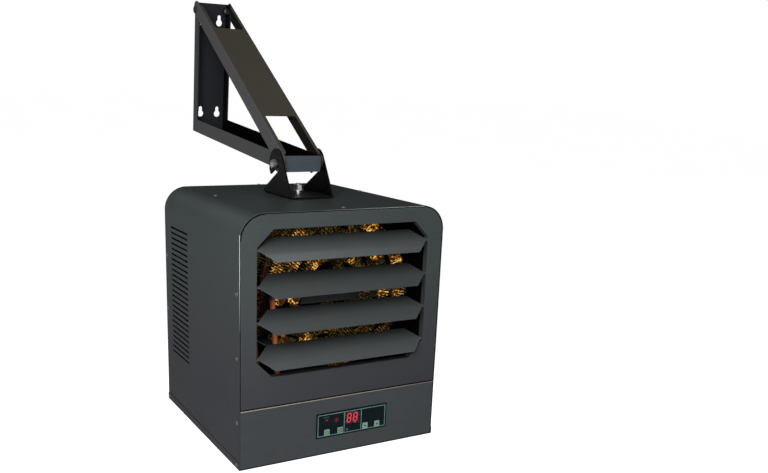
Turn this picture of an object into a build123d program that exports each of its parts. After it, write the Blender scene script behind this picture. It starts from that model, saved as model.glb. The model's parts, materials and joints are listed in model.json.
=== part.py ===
from build123d import *
import os
from math import atan, cos, degrees, radians, sin

os.makedirs("parts", exist_ok=True)

# Garage heater that hangs from a swivelling wall bracket, in millimetres.
# The wall face of the bracket is y = 0 and its keyhole pattern is centred on the origin.
# The cabinet pieces are drawn upright, with the cabinet's front at y = 0 and its base at z = 0,
# and are then hung on the bracket's tilt bolts.

# Cabinet
cabinet_half_width = 178.0
cabinet_height = 396.5
cabinet_depth = 348.5
corner_radius = 40.0
sheet = 1.0
panel_gap = 1.6
flange_depth = 24.0
pan_flange_top = 12.5

# Front opening and louvres
opening_half_width = 150.0
opening_bottom = 144.9
opening_top = 371.5
opening_chamfer = 26.0
opening_flange = 12.0
opening_rounding = 1.0
louver_heights = (341.2, 286.0, 231.0, 175.0)
louver_half_width = 23.8
louver_shoulder = 124.0
louver_tip = 148.0
louver_sheet = 1.2
louver_hem = 7.0
louver_pivot_depth = 2.7
louver_lean = 50.0
pin_radius = 1.5
pin_hole_radius = 1.56

# Joint between the two front covers
seam_bottom = 96.4
seam_top = 97.6

# Side slots
slot_length = 90.0
slot_height = 3.5
slot_pitch = 9.4
slot_rows = 25
slot_center_y = 273.0
slot_center_z = 217.65

# Controls on the lower cover: keys as centre x, and the windows they look through
key_width = 10.0
key_height = 11.0
key_center_height = 37.3
key_centers = (-27.5, -3.1, 43.5, 66.2)
key_travel = 0.4
overlay_left = -45.7
overlay_right = 82.8
overlay_bottom = 30.3
overlay_top = 70.0
display_center = (19.8, 55.75)
display_size = (26.8, 20.6)
status_light_places = ((-28.7, 59.3), (-10.5, 56.4))
board_front = 12.0

# Air path
duct_half_width = 154.0
duct_top = 387.5
duct_sheet = 0.8
shelf_top = 99.6
shroud_front = 197.0
fan_center_height = 249.0
shroud_hole_radius = 126.0
fan_radius = 119.0
fan_blades = 5
fan_front = 165.0
motor_radius = 40.0
motor_front = 205.0
motor_length = 75.0
intake_radius = 134.0

# Heating elements: centre x and ring radius, in the plane y = element_plane
element_plane = 50.0
element_center_height = 258.0
outer_ring = (13.5, 116.5)
middle_ring = (9.0, 91.0)
inner_ring = (3.5, 60.5)
element_tube_radius = 4.0
fin_radius = 10.2
fin_sheet = 1.4
outer_fins = 46
middle_fins = 36
inner_fins = 24
element_sweep = 325.0
element_bend = 12.0
terminal_plate_depth = 84.0
terminal_plate_sheet = 2.0

# Wall bracket
bracket_half_width = 33.5
bracket_depth = 26.5
bracket_sheet = 2.5
bracket_bend = 3.1
plate_half_height = 126.0
keyhole_spacing_x = 36.0
keyhole_spacing_z = 180.0
keyhole_radius = 6.5
keyhole_slot_half_width = 3.7
keyhole_slot_rise = 11.0
arm_end = 448.5
tilt_axis_reach = 430.0
tilt_axis_drop = 116.0
brace_bolt_reach = 13.25
brace_bolt_height = 112.0

# Diagonal brace: height of its upper face above the tilt axis, and how it climbs to the wall
brace_rise = 29.2
brace_slope = 0.5235
brace_window = (28.5, -6.0, 101.0)
brace_notch_start = 380.0
brace_web_end = 463.0

# Yoke and its bolts
bolt_radius = 4.0
bolt_hole_radius = 4.2
bolt_bore_radius = 4.06
bolt_across_flats = 13.0
yoke_half_width = 39.3
yoke_sheet = 3.0
yoke_bend = 4.5
yoke_front = 121.5
yoke_rear = 228.7
running_gap = 0.3
tilt_axis_y = 181.0
tilt_axis_z = 449.0
ear_radius = 25.5
ear_slot_half_width = 4.55
swivel_depth = 176.0

# How the cabinet hangs, front edge up
rest_tilt = -5.5
rest_pose = Location((0, -tilt_axis_reach, -tilt_axis_drop), (rest_tilt, 0, 0)) * Location(
    (0, -tilt_axis_y, -tilt_axis_z)
)


def hung(piece):
    """Moves a piece from the upright cabinet to its place under the bracket."""
    return piece.moved(rest_pose)


def bent_channel(half_width, depth, thickness, bend):
    """Draws a U of bent sheet: its web lies on the local X axis, its flanges point to +Y."""
    with BuildLine() as section:
        FilletPolyline(
            (-half_width, depth),
            (-half_width, 0),
            (half_width, 0),
            (half_width, depth),
            radius=bend,
        )
        offset(amount=thickness, side=Side.LEFT)
    make_face(section.edges())


def arch(half_width, bottom, top, radius):
    """Draws the outline of an upright sheet with rounded top corners."""
    with Locations((0, (bottom + top) / 2)):
        Rectangle(2 * half_width, top - bottom)
    fillet(vertices().group_by(Axis.Y)[-1], radius)


def cross_hole(radius, reach, *places):
    """Drills round holes right across the width at the given depths and heights."""
    with BuildSketch(Plane.YZ) as holes:
        with Locations(*places):
            Circle(radius)
    extrude(holes.sketch, amount=reach, both=True, mode=Mode.SUBTRACT)


# Wall plate: a channel with four keyholes, cut at 45 degrees where the arm begins
with BuildPart() as wall_plate:
    with BuildSketch(Plane((0, 0, -plate_half_height), x_dir=(-1, 0, 0), z_dir=(0, 0, 1))):
        bent_channel(bracket_half_width, bracket_depth, bracket_sheet, bracket_bend)
    extrude(amount=2 * plate_half_height)
    with BuildSketch(Plane.XZ):
        with GridLocations(keyhole_spacing_x, keyhole_spacing_z, 2, 2):
            Circle(keyhole_radius)
            Rectangle(
                2 * keyhole_slot_half_width, keyhole_slot_rise, align=(Align.CENTER, Align.MIN)
            )
            with Locations((0, keyhole_slot_rise)):
                Circle(keyhole_slot_half_width)
    extrude(amount=bracket_sheet, mode=Mode.SUBTRACT)
    cross_hole(bolt_hole_radius, bracket_half_width, (-brace_bolt_reach, brace_bolt_height))
    split(bisect_by=Plane(origin=(0, 0, -plate_half_height), z_dir=(0, 1, 1)), keep=Keep.TOP)
wall_plate.part.label = "wall_plate"
export_step(wall_plate.part, "parts/wall_plate.step")

# Lower arm: the same channel lying open side up
with BuildPart() as lower_arm:
    with BuildSketch(Plane((0, 0, -plate_half_height), x_dir=(1, 0, 0), z_dir=(0, -1, 0))):
        bent_channel(bracket_half_width, bracket_depth, bracket_sheet, bracket_bend)
    extrude(amount=arm_end)
    cross_hole(bolt_hole_radius, bracket_half_width, (-tilt_axis_reach, -tilt_axis_drop))
    split(bisect_by=Plane(origin=(0, 0, -plate_half_height), z_dir=(0, -1, -1)), keep=Keep.TOP)
lower_arm.part.label = "lower_arm"
export_step(lower_arm.part, "parts/lower_arm.step")

# Plate welded across the arm's front end
end_plate_rounding = 1.5
with BuildPart() as arm_end_plate:
    with BuildSketch(Plane.XZ.offset(arm_end)):
        with Locations((0, -plate_half_height + bracket_depth / 2)):
            RectangleRounded(2 * bracket_half_width, bracket_depth, end_plate_rounding)
    extrude(amount=bracket_sheet)
arm_end_plate.part.label = "arm_end_plate"
export_step(arm_end_plate.part, "parts/arm_end_plate.step")

# Brace: a wider channel that straddles the arm and the wall plate
brace_window_rounding = 4.0
brace_angle = atan(brace_slope)
brace_depth_to_axis = brace_rise * cos(brace_angle)
brace_foot = Vector(
    0,
    -tilt_axis_reach - brace_depth_to_axis * sin(brace_angle),
    -tilt_axis_drop + brace_depth_to_axis * cos(brace_angle),
)
brace_run = Vector(0, cos(brace_angle), sin(brace_angle))
brace_normal = Vector(0, -sin(brace_angle), cos(brace_angle))
brace_half_width = bracket_half_width + bracket_sheet
brace_top_bolt = Vector(0, -brace_bolt_reach, brace_bolt_height) - brace_foot
brace_bolt_run = brace_top_bolt.dot(brace_run)
brace_bolt_drop = -brace_top_bolt.dot(brace_normal)
brace_lower_end = -20.0
brace_lobe_radius = 13.0
brace_end_radius = 12.0
brace_upper_end = brace_bolt_run + brace_end_radius
with BuildPart() as brace:
    with BuildSketch(Plane(brace_foot + brace_run * brace_lower_end, (1, 0, 0), brace_run)):
        bent_channel(
            brace_half_width,
            brace_depth_to_axis + brace_lobe_radius,
            bracket_sheet,
            bracket_bend,
        )
    extrude(amount=brace_upper_end - brace_lower_end)
    with BuildSketch(Plane(brace_foot, brace_run, (-1, 0, 0))):
        with Locations(((brace_lower_end + brace_upper_end) / 2, bracket_depth / 2)):
            RectangleRounded(
                brace_upper_end - brace_lower_end, bracket_depth, brace_end_radius
            )
        with Locations((0, brace_depth_to_axis)):
            Circle(brace_lobe_radius)
        with Locations((brace_bolt_run, brace_bolt_drop), (0, brace_depth_to_axis)):
            Circle(bolt_hole_radius, mode=Mode.SUBTRACT)
    extrude(amount=brace_half_width, both=True, mode=Mode.INTERSECT)
    window_half_width, window_start, window_end = brace_window
    with BuildSketch(Plane(brace_foot, (1, 0, 0), brace_normal)):
        with Locations((0, window_start)):
            Rectangle(
                2 * bracket_half_width,
                window_start - brace_lower_end,
                align=(Align.CENTER, Align.MAX),
            )
        with Locations((0, brace_web_end)):
            Rectangle(
                2 * bracket_half_width,
                brace_upper_end - brace_web_end,
                align=(Align.CENTER, Align.MIN),
            )
        with Locations((0, window_start)):
            Rectangle(
                2 * window_half_width,
                window_end - window_start,
                align=(Align.CENTER, Align.MIN),
            )
        with Locations((0, brace_notch_start)):
            Rectangle(
                2 * window_half_width,
                brace_web_end - brace_notch_start,
                align=(Align.CENTER, Align.MIN),
            )
        window_corners = vertices().filter_by(
            lambda v: abs(abs(v.X) - window_half_width) < 0.1
        )
        fillet(window_corners, brace_window_rounding)
    extrude(amount=-bracket_bend, mode=Mode.SUBTRACT)
brace.part.label = "brace"
export_step(brace.part, "parts/brace.step")

# Bolts that hold the brace to the wall plate, with domed heads and cap nuts
brace_bolt_head = (7.0, 3.6)
brace_head_rounding = 3.2
brace_shank_length = 11.0
cap_nut_hex_length = 6.0
cap_nut_length = 9.0
cap_nut_dome_radius = 6.2
cap_nut_rounding = 2.8
with BuildPart() as brace_bolts:
    head_seat = Plane(
        (brace_half_width, -brace_bolt_reach, brace_bolt_height), z_dir=(1, 0, 0)
    )
    with Locations(head_seat):
        Cylinder(*brace_bolt_head, align=(Align.CENTER, Align.CENTER, Align.MIN))
    fillet(edges().sort_by(Axis.X)[-1], brace_head_rounding)
    with Locations(head_seat):
        Cylinder(
            bolt_radius, brace_shank_length, align=(Align.CENTER, Align.CENTER, Align.MAX)
        )
    mirror(about=Plane.YZ)
brace_bolts.part.label = "brace_bolts"
export_step(brace_bolts.part, "parts/brace_bolts.step")

plate_inner = bracket_half_width - bracket_sheet
with BuildPart() as brace_nuts:
    nut_seat = Plane((plate_inner, -brace_bolt_reach, brace_bolt_height), z_dir=(-1, 0, 0))
    with BuildSketch(nut_seat):
        RegularPolygon(bolt_across_flats / 2, 6, major_radius=False)
    extrude(amount=cap_nut_hex_length)
    with BuildSketch(nut_seat.offset(cap_nut_hex_length)):
        Circle(cap_nut_dome_radius)
    extrude(amount=cap_nut_length - cap_nut_hex_length)
    fillet(edges().sort_by(Axis.X)[0], cap_nut_rounding)
    with BuildSketch(nut_seat):
        Circle(bolt_radius)
    extrude(amount=cap_nut_hex_length, mode=Mode.SUBTRACT)
    mirror(about=Plane.YZ)
brace_nuts.part.label = "brace_nuts"
export_step(brace_nuts.part, "parts/brace_nuts.step")

# Tilt bolts: from outside in, head, washer, ear, brace, arm, nut
washer_sheet = 1.6
tilt_washer_radius = 7.5
tilt_head_length = 5.5
tilt_nut_length = 6.5
tilt_bolt_overrun = 1.5
tilt_washer_x = yoke_half_width + running_gap
tilt_head_x = tilt_washer_x + washer_sheet
with BuildPart() as tilt_bolts:
    head_seat = Plane((tilt_head_x, -tilt_axis_reach, -tilt_axis_drop), z_dir=(1, 0, 0))
    with BuildSketch(head_seat):
        RegularPolygon(bolt_across_flats / 2, 6, major_radius=False)
    extrude(amount=tilt_head_length)
    with BuildSketch(head_seat):
        Circle(bolt_radius)
    extrude(amount=-(tilt_head_x - plate_inner + tilt_nut_length + tilt_bolt_overrun))
    mirror(about=Plane.YZ)
tilt_bolts.part.label = "tilt_bolts"
export_step(tilt_bolts.part, "parts/tilt_bolts.step")

with BuildPart() as tilt_washers:
    with BuildSketch(
        Plane((tilt_washer_x, -tilt_axis_reach, -tilt_axis_drop), z_dir=(1, 0, 0))
    ):
        Circle(tilt_washer_radius)
        Circle(bolt_radius, mode=Mode.SUBTRACT)
    extrude(amount=washer_sheet)
    mirror(about=Plane.YZ)
tilt_washers.part.label = "tilt_washers"
export_step(tilt_washers.part, "parts/tilt_washers.step")

with BuildPart() as tilt_nuts:
    with BuildSketch(
        Plane((plate_inner, -tilt_axis_reach, -tilt_axis_drop), z_dir=(-1, 0, 0))
    ):
        RegularPolygon(bolt_across_flats / 2, 6, major_radius=False, rotation=30)
        Circle(bolt_radius, mode=Mode.SUBTRACT)
    extrude(amount=tilt_nut_length)
    mirror(about=Plane.YZ)
tilt_nuts.part.label = "tilt_nuts"
export_step(tilt_nuts.part, "parts/tilt_nuts.step")

# Yoke: one plate bent up into two ears, each with a hooked slot that drops over a tilt bolt
yoke_bottom = cabinet_height + running_gap
yoke_top = yoke_bottom + yoke_sheet
ear_height = tilt_axis_z + ear_radius - yoke_bottom
hook_rear = tilt_axis_y + ear_radius
hook_foot = 404.1
hook_tip = (201.5, 430.9)
hook_shoulder = 438.0
slot_corner = (174.5, 441.2)
slot_mouth = (240.0, 403.3)
with BuildPart() as yoke:
    with BuildSketch(Plane((0, yoke_front, yoke_bottom), x_dir=(1, 0, 0), z_dir=(0, -1, 0))):
        bent_channel(yoke_half_width, ear_height, yoke_sheet, yoke_bend)
    extrude(amount=yoke_front - yoke_rear)
    with BuildSketch(Plane.YZ):
        with Locations((tilt_axis_y, tilt_axis_z)):
            Circle(ear_radius)
        with Locations((yoke_front, yoke_bottom)):
            Rectangle(tilt_axis_y - yoke_front, yoke_sheet, align=(Align.MIN, Align.MIN))
        make_hull()
        with BuildLine():
            Polyline(
                (tilt_axis_y, yoke_bottom),
                (yoke_rear, yoke_bottom),
                (yoke_rear, hook_foot),
                hook_tip,
                (hook_rear, hook_shoulder),
                (hook_rear, tilt_axis_z),
                (tilt_axis_y, tilt_axis_z),
                close=True,
            )
        make_face()
        for start, end, half_width in (
            (slot_corner, slot_mouth, ear_slot_half_width),
            (slot_corner, (tilt_axis_y, tilt_axis_z), bolt_bore_radius),
        ):
            leg = Vector(*end) - Vector(*start)
            middle = Vector(*start) + leg / 2
            with Locations((middle.X, middle.Y)):
                SlotCenterToCenter(
                    leg.length,
                    2 * half_width,
                    rotation=Vector(1, 0, 0).get_signed_angle(leg, Vector(0, 0, 1)),
                    mode=Mode.SUBTRACT,
                )
    extrude(amount=yoke_half_width, both=True, mode=Mode.INTERSECT)
    with BuildSketch(Plane.XY.offset(yoke_bottom)):
        with Locations((0, swivel_depth)):
            Circle(bolt_bore_radius)
    extrude(amount=yoke_sheet, mode=Mode.SUBTRACT)
yoke.part.label = "yoke"
export_step(hung(yoke.part), "parts/yoke.step")

# Swivel bolt: welded under the cabinet's top, with its spacer, washer and nut above the yoke
cabinet_ceiling = cabinet_height - sheet
reinforcement_sheet = 3.0
reinforcement_bottom = cabinet_ceiling - reinforcement_sheet
swivel_head_length = 3.0
spacer_length = 5.0
swivel_nut_length = 8.0
swivel_bolt_overrun = 2.5
swivel_bolt_chamfer = 0.8
spacer_radius = 6.0
swivel_washer_radius = 9.5
reinforcement_size = (130.0, 110.0)
reinforcement_rounding = 8.0
spacer_bottom = yoke_top + running_gap
swivel_washer_bottom = spacer_bottom + spacer_length
swivel_nut_bottom = swivel_washer_bottom + washer_sheet
swivel_tip = swivel_nut_bottom + swivel_nut_length + swivel_bolt_overrun
with BuildPart() as swivel_bolt:
    with BuildSketch(Plane.XY.offset(reinforcement_bottom - swivel_head_length)):
        with Locations((0, swivel_depth)):
            RegularPolygon(bolt_across_flats / 2, 6, major_radius=False)
    extrude(amount=swivel_head_length)
    with BuildSketch(Plane.XY.offset(reinforcement_bottom)):
        with Locations((0, swivel_depth)):
            Circle(bolt_radius)
    extrude(amount=swivel_tip - reinforcement_bottom)
    chamfer(edges().filter_by(GeomType.CIRCLE).sort_by(Axis.Z)[-1], swivel_bolt_chamfer)
swivel_bolt.part.label = "swivel_bolt"
export_step(hung(swivel_bolt.part), "parts/swivel_bolt.step")

with BuildPart() as swivel_spacer:
    with BuildSketch(Plane.XY.offset(spacer_bottom)):
        with Locations((0, swivel_depth)):
            Circle(spacer_radius)
            Circle(bolt_radius, mode=Mode.SUBTRACT)
    extrude(amount=spacer_length)
swivel_spacer.part.label = "swivel_spacer"
export_step(hung(swivel_spacer.part), "parts/swivel_spacer.step")

with BuildPart() as swivel_washer:
    with BuildSketch(Plane.XY.offset(swivel_washer_bottom)):
        with Locations((0, swivel_depth)):
            Circle(swivel_washer_radius)
            Circle(bolt_radius, mode=Mode.SUBTRACT)
    extrude(amount=washer_sheet)
swivel_washer.part.label = "swivel_washer"
export_step(hung(swivel_washer.part), "parts/swivel_washer.step")

with BuildPart() as swivel_nut:
    with BuildSketch(Plane.XY.offset(swivel_nut_bottom)):
        with Locations((0, swivel_depth)):
            RegularPolygon(bolt_across_flats / 2, 6, major_radius=False)
            Circle(bolt_radius, mode=Mode.SUBTRACT)
    extrude(amount=swivel_nut_length)
swivel_nut.part.label = "swivel_nut"
export_step(hung(swivel_nut.part), "parts/swivel_nut.step")

with BuildPart() as top_reinforcement:
    with BuildSketch(Plane.XY.offset(reinforcement_bottom)):
        with Locations((0, swivel_depth)):
            RectangleRounded(*reinforcement_size, reinforcement_rounding)
            Circle(bolt_hole_radius, mode=Mode.SUBTRACT)
    extrude(amount=reinforcement_sheet)
top_reinforcement.part.label = "top_reinforcement"
export_step(hung(top_reinforcement.part), "parts/top_reinforcement.step")

# Screw places: depth and height on both side walls, and x and depth on the top
screw_radius = 1.5
screw_hole_radius = 1.6
screw_head = (3.6, 1.9)
screw_head_taper = 28.0
wall_screw_length = 3.6
top_screw_length = 6.0
side_screw_places = ((9.0, 277.5), (9.0, 178.6), (9.0, 76.4), (341.0, 276.0), (341.0, 178.0))
pan_screw_places = ((9.0, 6.8), (341.0, 6.8))
top_screw_places = ((0, 17.0), (0, 341.0), (-136.6, 203.5), (136.6, 203.5))

# Wrapper: top and both sides in one sheet, with rows of slots near the back
cut_edge_rounding = 0.4
pan_bend = 1.5
fold_radius = 1.6
with BuildPart() as wrapper:
    with BuildSketch(
        Plane((0, 0, cabinet_height), x_dir=(-1, 0, 0), z_dir=(0, -1, 0))
    ):
        bent_channel(
            cabinet_half_width, cabinet_height - panel_gap, sheet, corner_radius
        )
    extrude(amount=-cabinet_depth)
    with BuildSketch(Plane.YZ):
        with Locations((slot_center_y, slot_center_z)):
            with GridLocations(slot_length, slot_pitch, 1, slot_rows):
                SlotOverall(slot_length, slot_height)
    extrude(amount=cabinet_half_width, both=True, mode=Mode.SUBTRACT)
    cross_hole(screw_hole_radius, cabinet_half_width, *side_screw_places, *pan_screw_places)
    with BuildSketch(Plane.XY.offset(cabinet_height)):
        with Locations(*top_screw_places):
            Circle(screw_hole_radius)
        with Locations((0, swivel_depth)):
            Circle(bolt_hole_radius)
    extrude(amount=-sheet, mode=Mode.SUBTRACT)
    fillet(faces().filter_by(Axis.Y).sort_by(Axis.Y)[0].edges(), cut_edge_rounding)
wrapper.part.label = "wrapper"
export_step(hung(wrapper.part), "parts/wrapper.step")

# Bottom pan: its side flanges stand outside the wrapper
with BuildPart() as bottom_pan:
    with BuildSketch(Plane((0, 0, 0), x_dir=(1, 0, 0), z_dir=(0, -1, 0))):
        bent_channel(cabinet_half_width + sheet, pan_flange_top, sheet, pan_bend)
    extrude(amount=-cabinet_depth)
    cross_hole(screw_hole_radius, cabinet_half_width + sheet, *pan_screw_places)
    flange_rims = edges().filter_by(Axis.Y).group_by(Axis.Z)[-1].sort_by(Axis.X)
    fillet([flange_rims[0], flange_rims[-1]], cut_edge_rounding)
bottom_pan.part.label = "bottom_pan"
export_step(hung(bottom_pan.part), "parts/bottom_pan.step")

# Front panel: a flanged arch with an eight-sided opening whose rim is folded inward
cover_half_width = cabinet_half_width - panel_gap
cover_top = cabinet_height - panel_gap
cover_radius = corner_radius - panel_gap
opening_height = opening_top - opening_bottom
opening_center = (0, (opening_top + opening_bottom) / 2)
louver_pins = [(louver_pivot_depth, height) for height in louver_heights]
with BuildPart() as front_panel:
    with BuildSketch(Plane.XZ):
        arch(cover_half_width, seam_top, cover_top, cover_radius)
    extrude(amount=-sheet)
    with BuildSketch(Plane.XZ):
        arch(cover_half_width, seam_top, cover_top, cover_radius)
        offset(amount=-sheet, mode=Mode.SUBTRACT)
    extrude(amount=-flange_depth)
    fillet(faces().filter_by(Axis.Y).sort_by(Axis.Y)[0].edges(), fold_radius)
    with BuildSketch(Plane.XZ):
        with Locations(opening_center):
            Rectangle(2 * (opening_half_width + sheet), opening_height + 2 * sheet)
        chamfer(vertices(), opening_chamfer + sheet * 0.6)
    extrude(amount=-opening_flange)
    with BuildSketch(Plane.XZ):
        with Locations(opening_center):
            Rectangle(2 * opening_half_width, opening_height)
        chamfer(vertices(), opening_chamfer)
    extrude(amount=-opening_flange, mode=Mode.SUBTRACT)
    fillet(
        faces().filter_by(Axis.Y).sort_by(Axis.Y)[0].inner_wires().edges(), opening_rounding
    )
    cross_hole(pin_hole_radius, opening_half_width + 2 * sheet, *louver_pins)
    cross_hole(screw_hole_radius, cabinet_half_width, *side_screw_places[:2])
    with BuildSketch(Plane.XY.offset(cover_top)):
        with Locations(top_screw_places[0]):
            Circle(screw_hole_radius)
    extrude(amount=-sheet, mode=Mode.SUBTRACT)
front_panel.part.label = "front_panel"
export_step(hung(front_panel.part), "parts/front_panel.step")

# Louvres: pointed blades with folded hems, each turning on a pin at either end
blade_up = Vector(0, sin(radians(louver_lean)), cos(radians(louver_lean)))
blade_face = Vector(0, -cos(radians(louver_lean)), sin(radians(louver_lean)))
tab_end = 149.4
tab_half_height = 2.5
hem_edge = louver_half_width - louver_hem / 2
hem_rounding = 1.0
pin_end = 152.5
pin_length = 8.5
for number, height in enumerate(louver_heights, start=1):
    pivot = Vector(0, louver_pivot_depth, height)
    with BuildPart() as louver:
        with BuildSketch(Plane(pivot, (1, 0, 0), blade_face)):
            with BuildLine():
                Polyline(
                    (-louver_tip, 0),
                    (-louver_shoulder, louver_half_width),
                    (louver_shoulder, louver_half_width),
                    (louver_tip, 0),
                    (louver_shoulder, -louver_half_width),
                    (-louver_shoulder, -louver_half_width),
                    close=True,
                )
            make_face()
            Rectangle(2 * tab_end, 2 * tab_half_height)
        extrude(amount=louver_sheet / 2, both=True)
        with BuildSketch(Plane(pivot - blade_face * louver_sheet / 2, (1, 0, 0), blade_face)):
            for side in (-1, 1):
                with Locations((0, side * hem_edge)):
                    Trapezoid(
                        2 * (louver_shoulder + louver_hem),
                        louver_hem,
                        45,
                        rotation=0 if side > 0 else 180,
                    )
        extrude(amount=-louver_sheet)
        hem_folds = edges().filter_by(Axis.X).filter_by(
            lambda fold: abs(abs((fold @ 0.5 - pivot).dot(blade_up)) - louver_half_width) < 0.1
        )
        fillet(hem_folds, hem_rounding)
        with BuildSketch(Plane(pivot - Vector(pin_end, 0, 0), z_dir=(1, 0, 0))):
            Circle(pin_radius)
        extrude(amount=pin_length)
        with BuildSketch(Plane(pivot + Vector(pin_end, 0, 0), z_dir=(-1, 0, 0))):
            Circle(pin_radius)
        extrude(amount=pin_length)
    louver.part.label = f"louver_{number}"
    export_step(hung(louver.part), f"parts/louver_{number}.step")

# Lower access cover: a flanged tray with windows for the keys, display and status lights
cover_bottom = 1.3
cover_flange = 15.0
window_gap = 0.2
stud_radius = 2.5
stud_places = [(x, z) for x in (-39.0, 83.0) for z in (26.5, 75.0)]
status_light_radius = 1.5
key_window_rounding = 1.5


def control_windows():
    """Draws the openings for the keys, the display and the status lights."""
    with Locations(*[(x, key_center_height) for x in key_centers]):
        RectangleRounded(
            key_width + 2 * window_gap, key_height + 2 * window_gap, key_window_rounding
        )
    with Locations(display_center):
        Rectangle(display_size[0] + 2 * window_gap, display_size[1] + 2 * window_gap)
    with Locations(*status_light_places):
        Circle(status_light_radius + window_gap)


with BuildPart() as access_cover:
    with BuildSketch(Plane.XZ):
        with Locations((0, (cover_bottom + seam_bottom) / 2)):
            Rectangle(2 * cover_half_width, seam_bottom - cover_bottom)
    extrude(amount=-cover_flange)
    fillet(faces().filter_by(Axis.Y).sort_by(Axis.Y)[0].edges(), fold_radius)
    with BuildSketch(Plane.XZ.offset(-sheet)):
        with Locations((0, (cover_bottom + seam_bottom) / 2)):
            Rectangle(
                2 * (cover_half_width - sheet), seam_bottom - cover_bottom - 2 * sheet
            )
    extrude(amount=sheet - cover_flange, mode=Mode.SUBTRACT)
    with BuildSketch(Plane.XZ) as control_openings:
        control_windows()
    extrude(amount=-sheet, mode=Mode.SUBTRACT)
    with BuildSketch(Plane.XZ.offset(-sheet)):
        with Locations(*stud_places):
            Circle(stud_radius)
    extrude(amount=sheet - board_front)
    cross_hole(screw_hole_radius, cabinet_half_width, side_screw_places[2], pan_screw_places[0])
access_cover.part.label = "access_cover"
export_step(hung(access_cover.part), "parts/access_cover.step")

# Printed overlay on the cover
overlay_rounding = 2.0
overlay_center = ((overlay_left + overlay_right) / 2, (overlay_bottom + overlay_top) / 2)
with BuildPart() as control_overlay:
    with BuildSketch(Plane.XZ):
        with Locations(overlay_center):
            RectangleRounded(
                overlay_right - overlay_left, overlay_top - overlay_bottom, overlay_rounding
            )
        add(control_openings.sketch_local, mode=Mode.SUBTRACT)
    extrude(amount=sheet)
control_overlay.part.label = "control_overlay"
export_step(hung(control_overlay.part), "parts/control_overlay.step")

# Keys: a cap in the overlay, a shoulder behind the cover and a stem that meets its switch
key_proud = 0.4
key_rounding = 1.4
key_chamfer = 0.3
key_stem_radius = 2.4
switch_front = 7.1
shoulder_front = sheet + 0.2
shoulder_sheet = 1.2
shoulder_overlap = 0.9
key_stem_end = switch_front - key_travel - 0.1
key_names = ("power_key", "fan_key", "down_key", "up_key")
for name, center in zip(key_names, key_centers):
    with BuildPart() as key:
        with BuildSketch(Plane.XZ.offset(sheet + key_proud)):
            with Locations((center, key_center_height)):
                RectangleRounded(key_width, key_height, key_rounding)
        extrude(amount=-(sheet + key_proud + shoulder_front))
        chamfer(faces().sort_by(Axis.Y)[0].edges(), key_chamfer)
        with BuildSketch(Plane.XZ.offset(-shoulder_front)):
            with Locations((center, key_center_height)):
                RectangleRounded(
                    key_width + 2 * shoulder_overlap,
                    key_height + 2 * shoulder_overlap,
                    key_rounding + 0.4,
                )
        extrude(amount=-shoulder_sheet)
        with BuildSketch(Plane.XZ.offset(-shoulder_front - shoulder_sheet)):
            with Locations((center, key_center_height)):
                Circle(key_stem_radius)
        extrude(amount=-(key_stem_end - shoulder_front - shoulder_sheet))
    key.part.label = name
    export_step(hung(key.part), f"parts/{name}.step")

switch_size = 6.2
switch_rounding = 0.5
plunger_radius = 1.7
plunger_length = 0.9
with BuildPart() as key_switches:
    with BuildSketch(Plane.XZ.offset(-board_front)):
        with Locations(*[(x, key_center_height) for x in key_centers]):
            RectangleRounded(switch_size, switch_size, switch_rounding)
    extrude(amount=board_front - switch_front - plunger_length)
    with BuildSketch(Plane.XZ.offset(-switch_front - plunger_length)):
        with Locations(*[(x, key_center_height) for x in key_centers]):
            Circle(plunger_radius)
    extrude(amount=plunger_length)
key_switches.part.label = "key_switches"
export_step(hung(key_switches.part), "parts/key_switches.step")

# Display: digit module on the board, with a clear lens in the overlay's window
lens_back = 1.4
lens_setback = 0.1
light_proud = 0.1
light_rounding = 0.5
with BuildPart() as display_lens:
    with BuildSketch(Plane.XZ.offset(sheet - lens_setback)):
        with Locations(display_center):
            Rectangle(*display_size)
    extrude(amount=-(sheet - lens_setback + lens_back))
display_lens.part.label = "display_lens"
export_step(hung(display_lens.part), "parts/display_lens.step")

with BuildPart() as segment_display:
    with BuildSketch(Plane.XZ.offset(-board_front)):
        with Locations(display_center):
            Rectangle(*display_size)
    extrude(amount=board_front - lens_back)
segment_display.part.label = "segment_display"
export_step(hung(segment_display.part), "parts/segment_display.step")

with BuildPart() as status_lights:
    with BuildSketch(Plane.XZ.offset(-board_front)):
        with Locations(*status_light_places):
            Circle(status_light_radius)
    extrude(amount=board_front + sheet + light_proud)
    fillet(faces().filter_by(Axis.Y).group_by(Axis.Y)[0].edges(), light_rounding)
status_lights.part.label = "status_lights"
export_step(hung(status_lights.part), "parts/status_lights.step")

# Control board on the cover's studs, with its two power relays
board_sheet = 1.6
board_center = (22.0, 50.0)
board_size = (132.0, 58.0)
relay_size = (19.0, 15.0)
relay_depth = 15.5
relay_rounding = 0.8
relay_places = ((-20.0, 55.0), (5.0, 55.0))
with BuildPart() as control_board:
    with BuildSketch(Plane.XZ.offset(-board_front)):
        with Locations(board_center):
            Rectangle(*board_size)
    extrude(amount=-board_sheet)
control_board.part.label = "control_board"
export_step(hung(control_board.part), "parts/control_board.step")

with BuildPart() as board_relays:
    with BuildSketch(Plane.XZ.offset(-board_front - board_sheet)):
        with Locations(*relay_places):
            RectangleRounded(*relay_size, relay_rounding)
    extrude(amount=-relay_depth)
board_relays.part.label = "board_relays"
export_step(hung(board_relays.part), "parts/board_relays.step")

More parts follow.
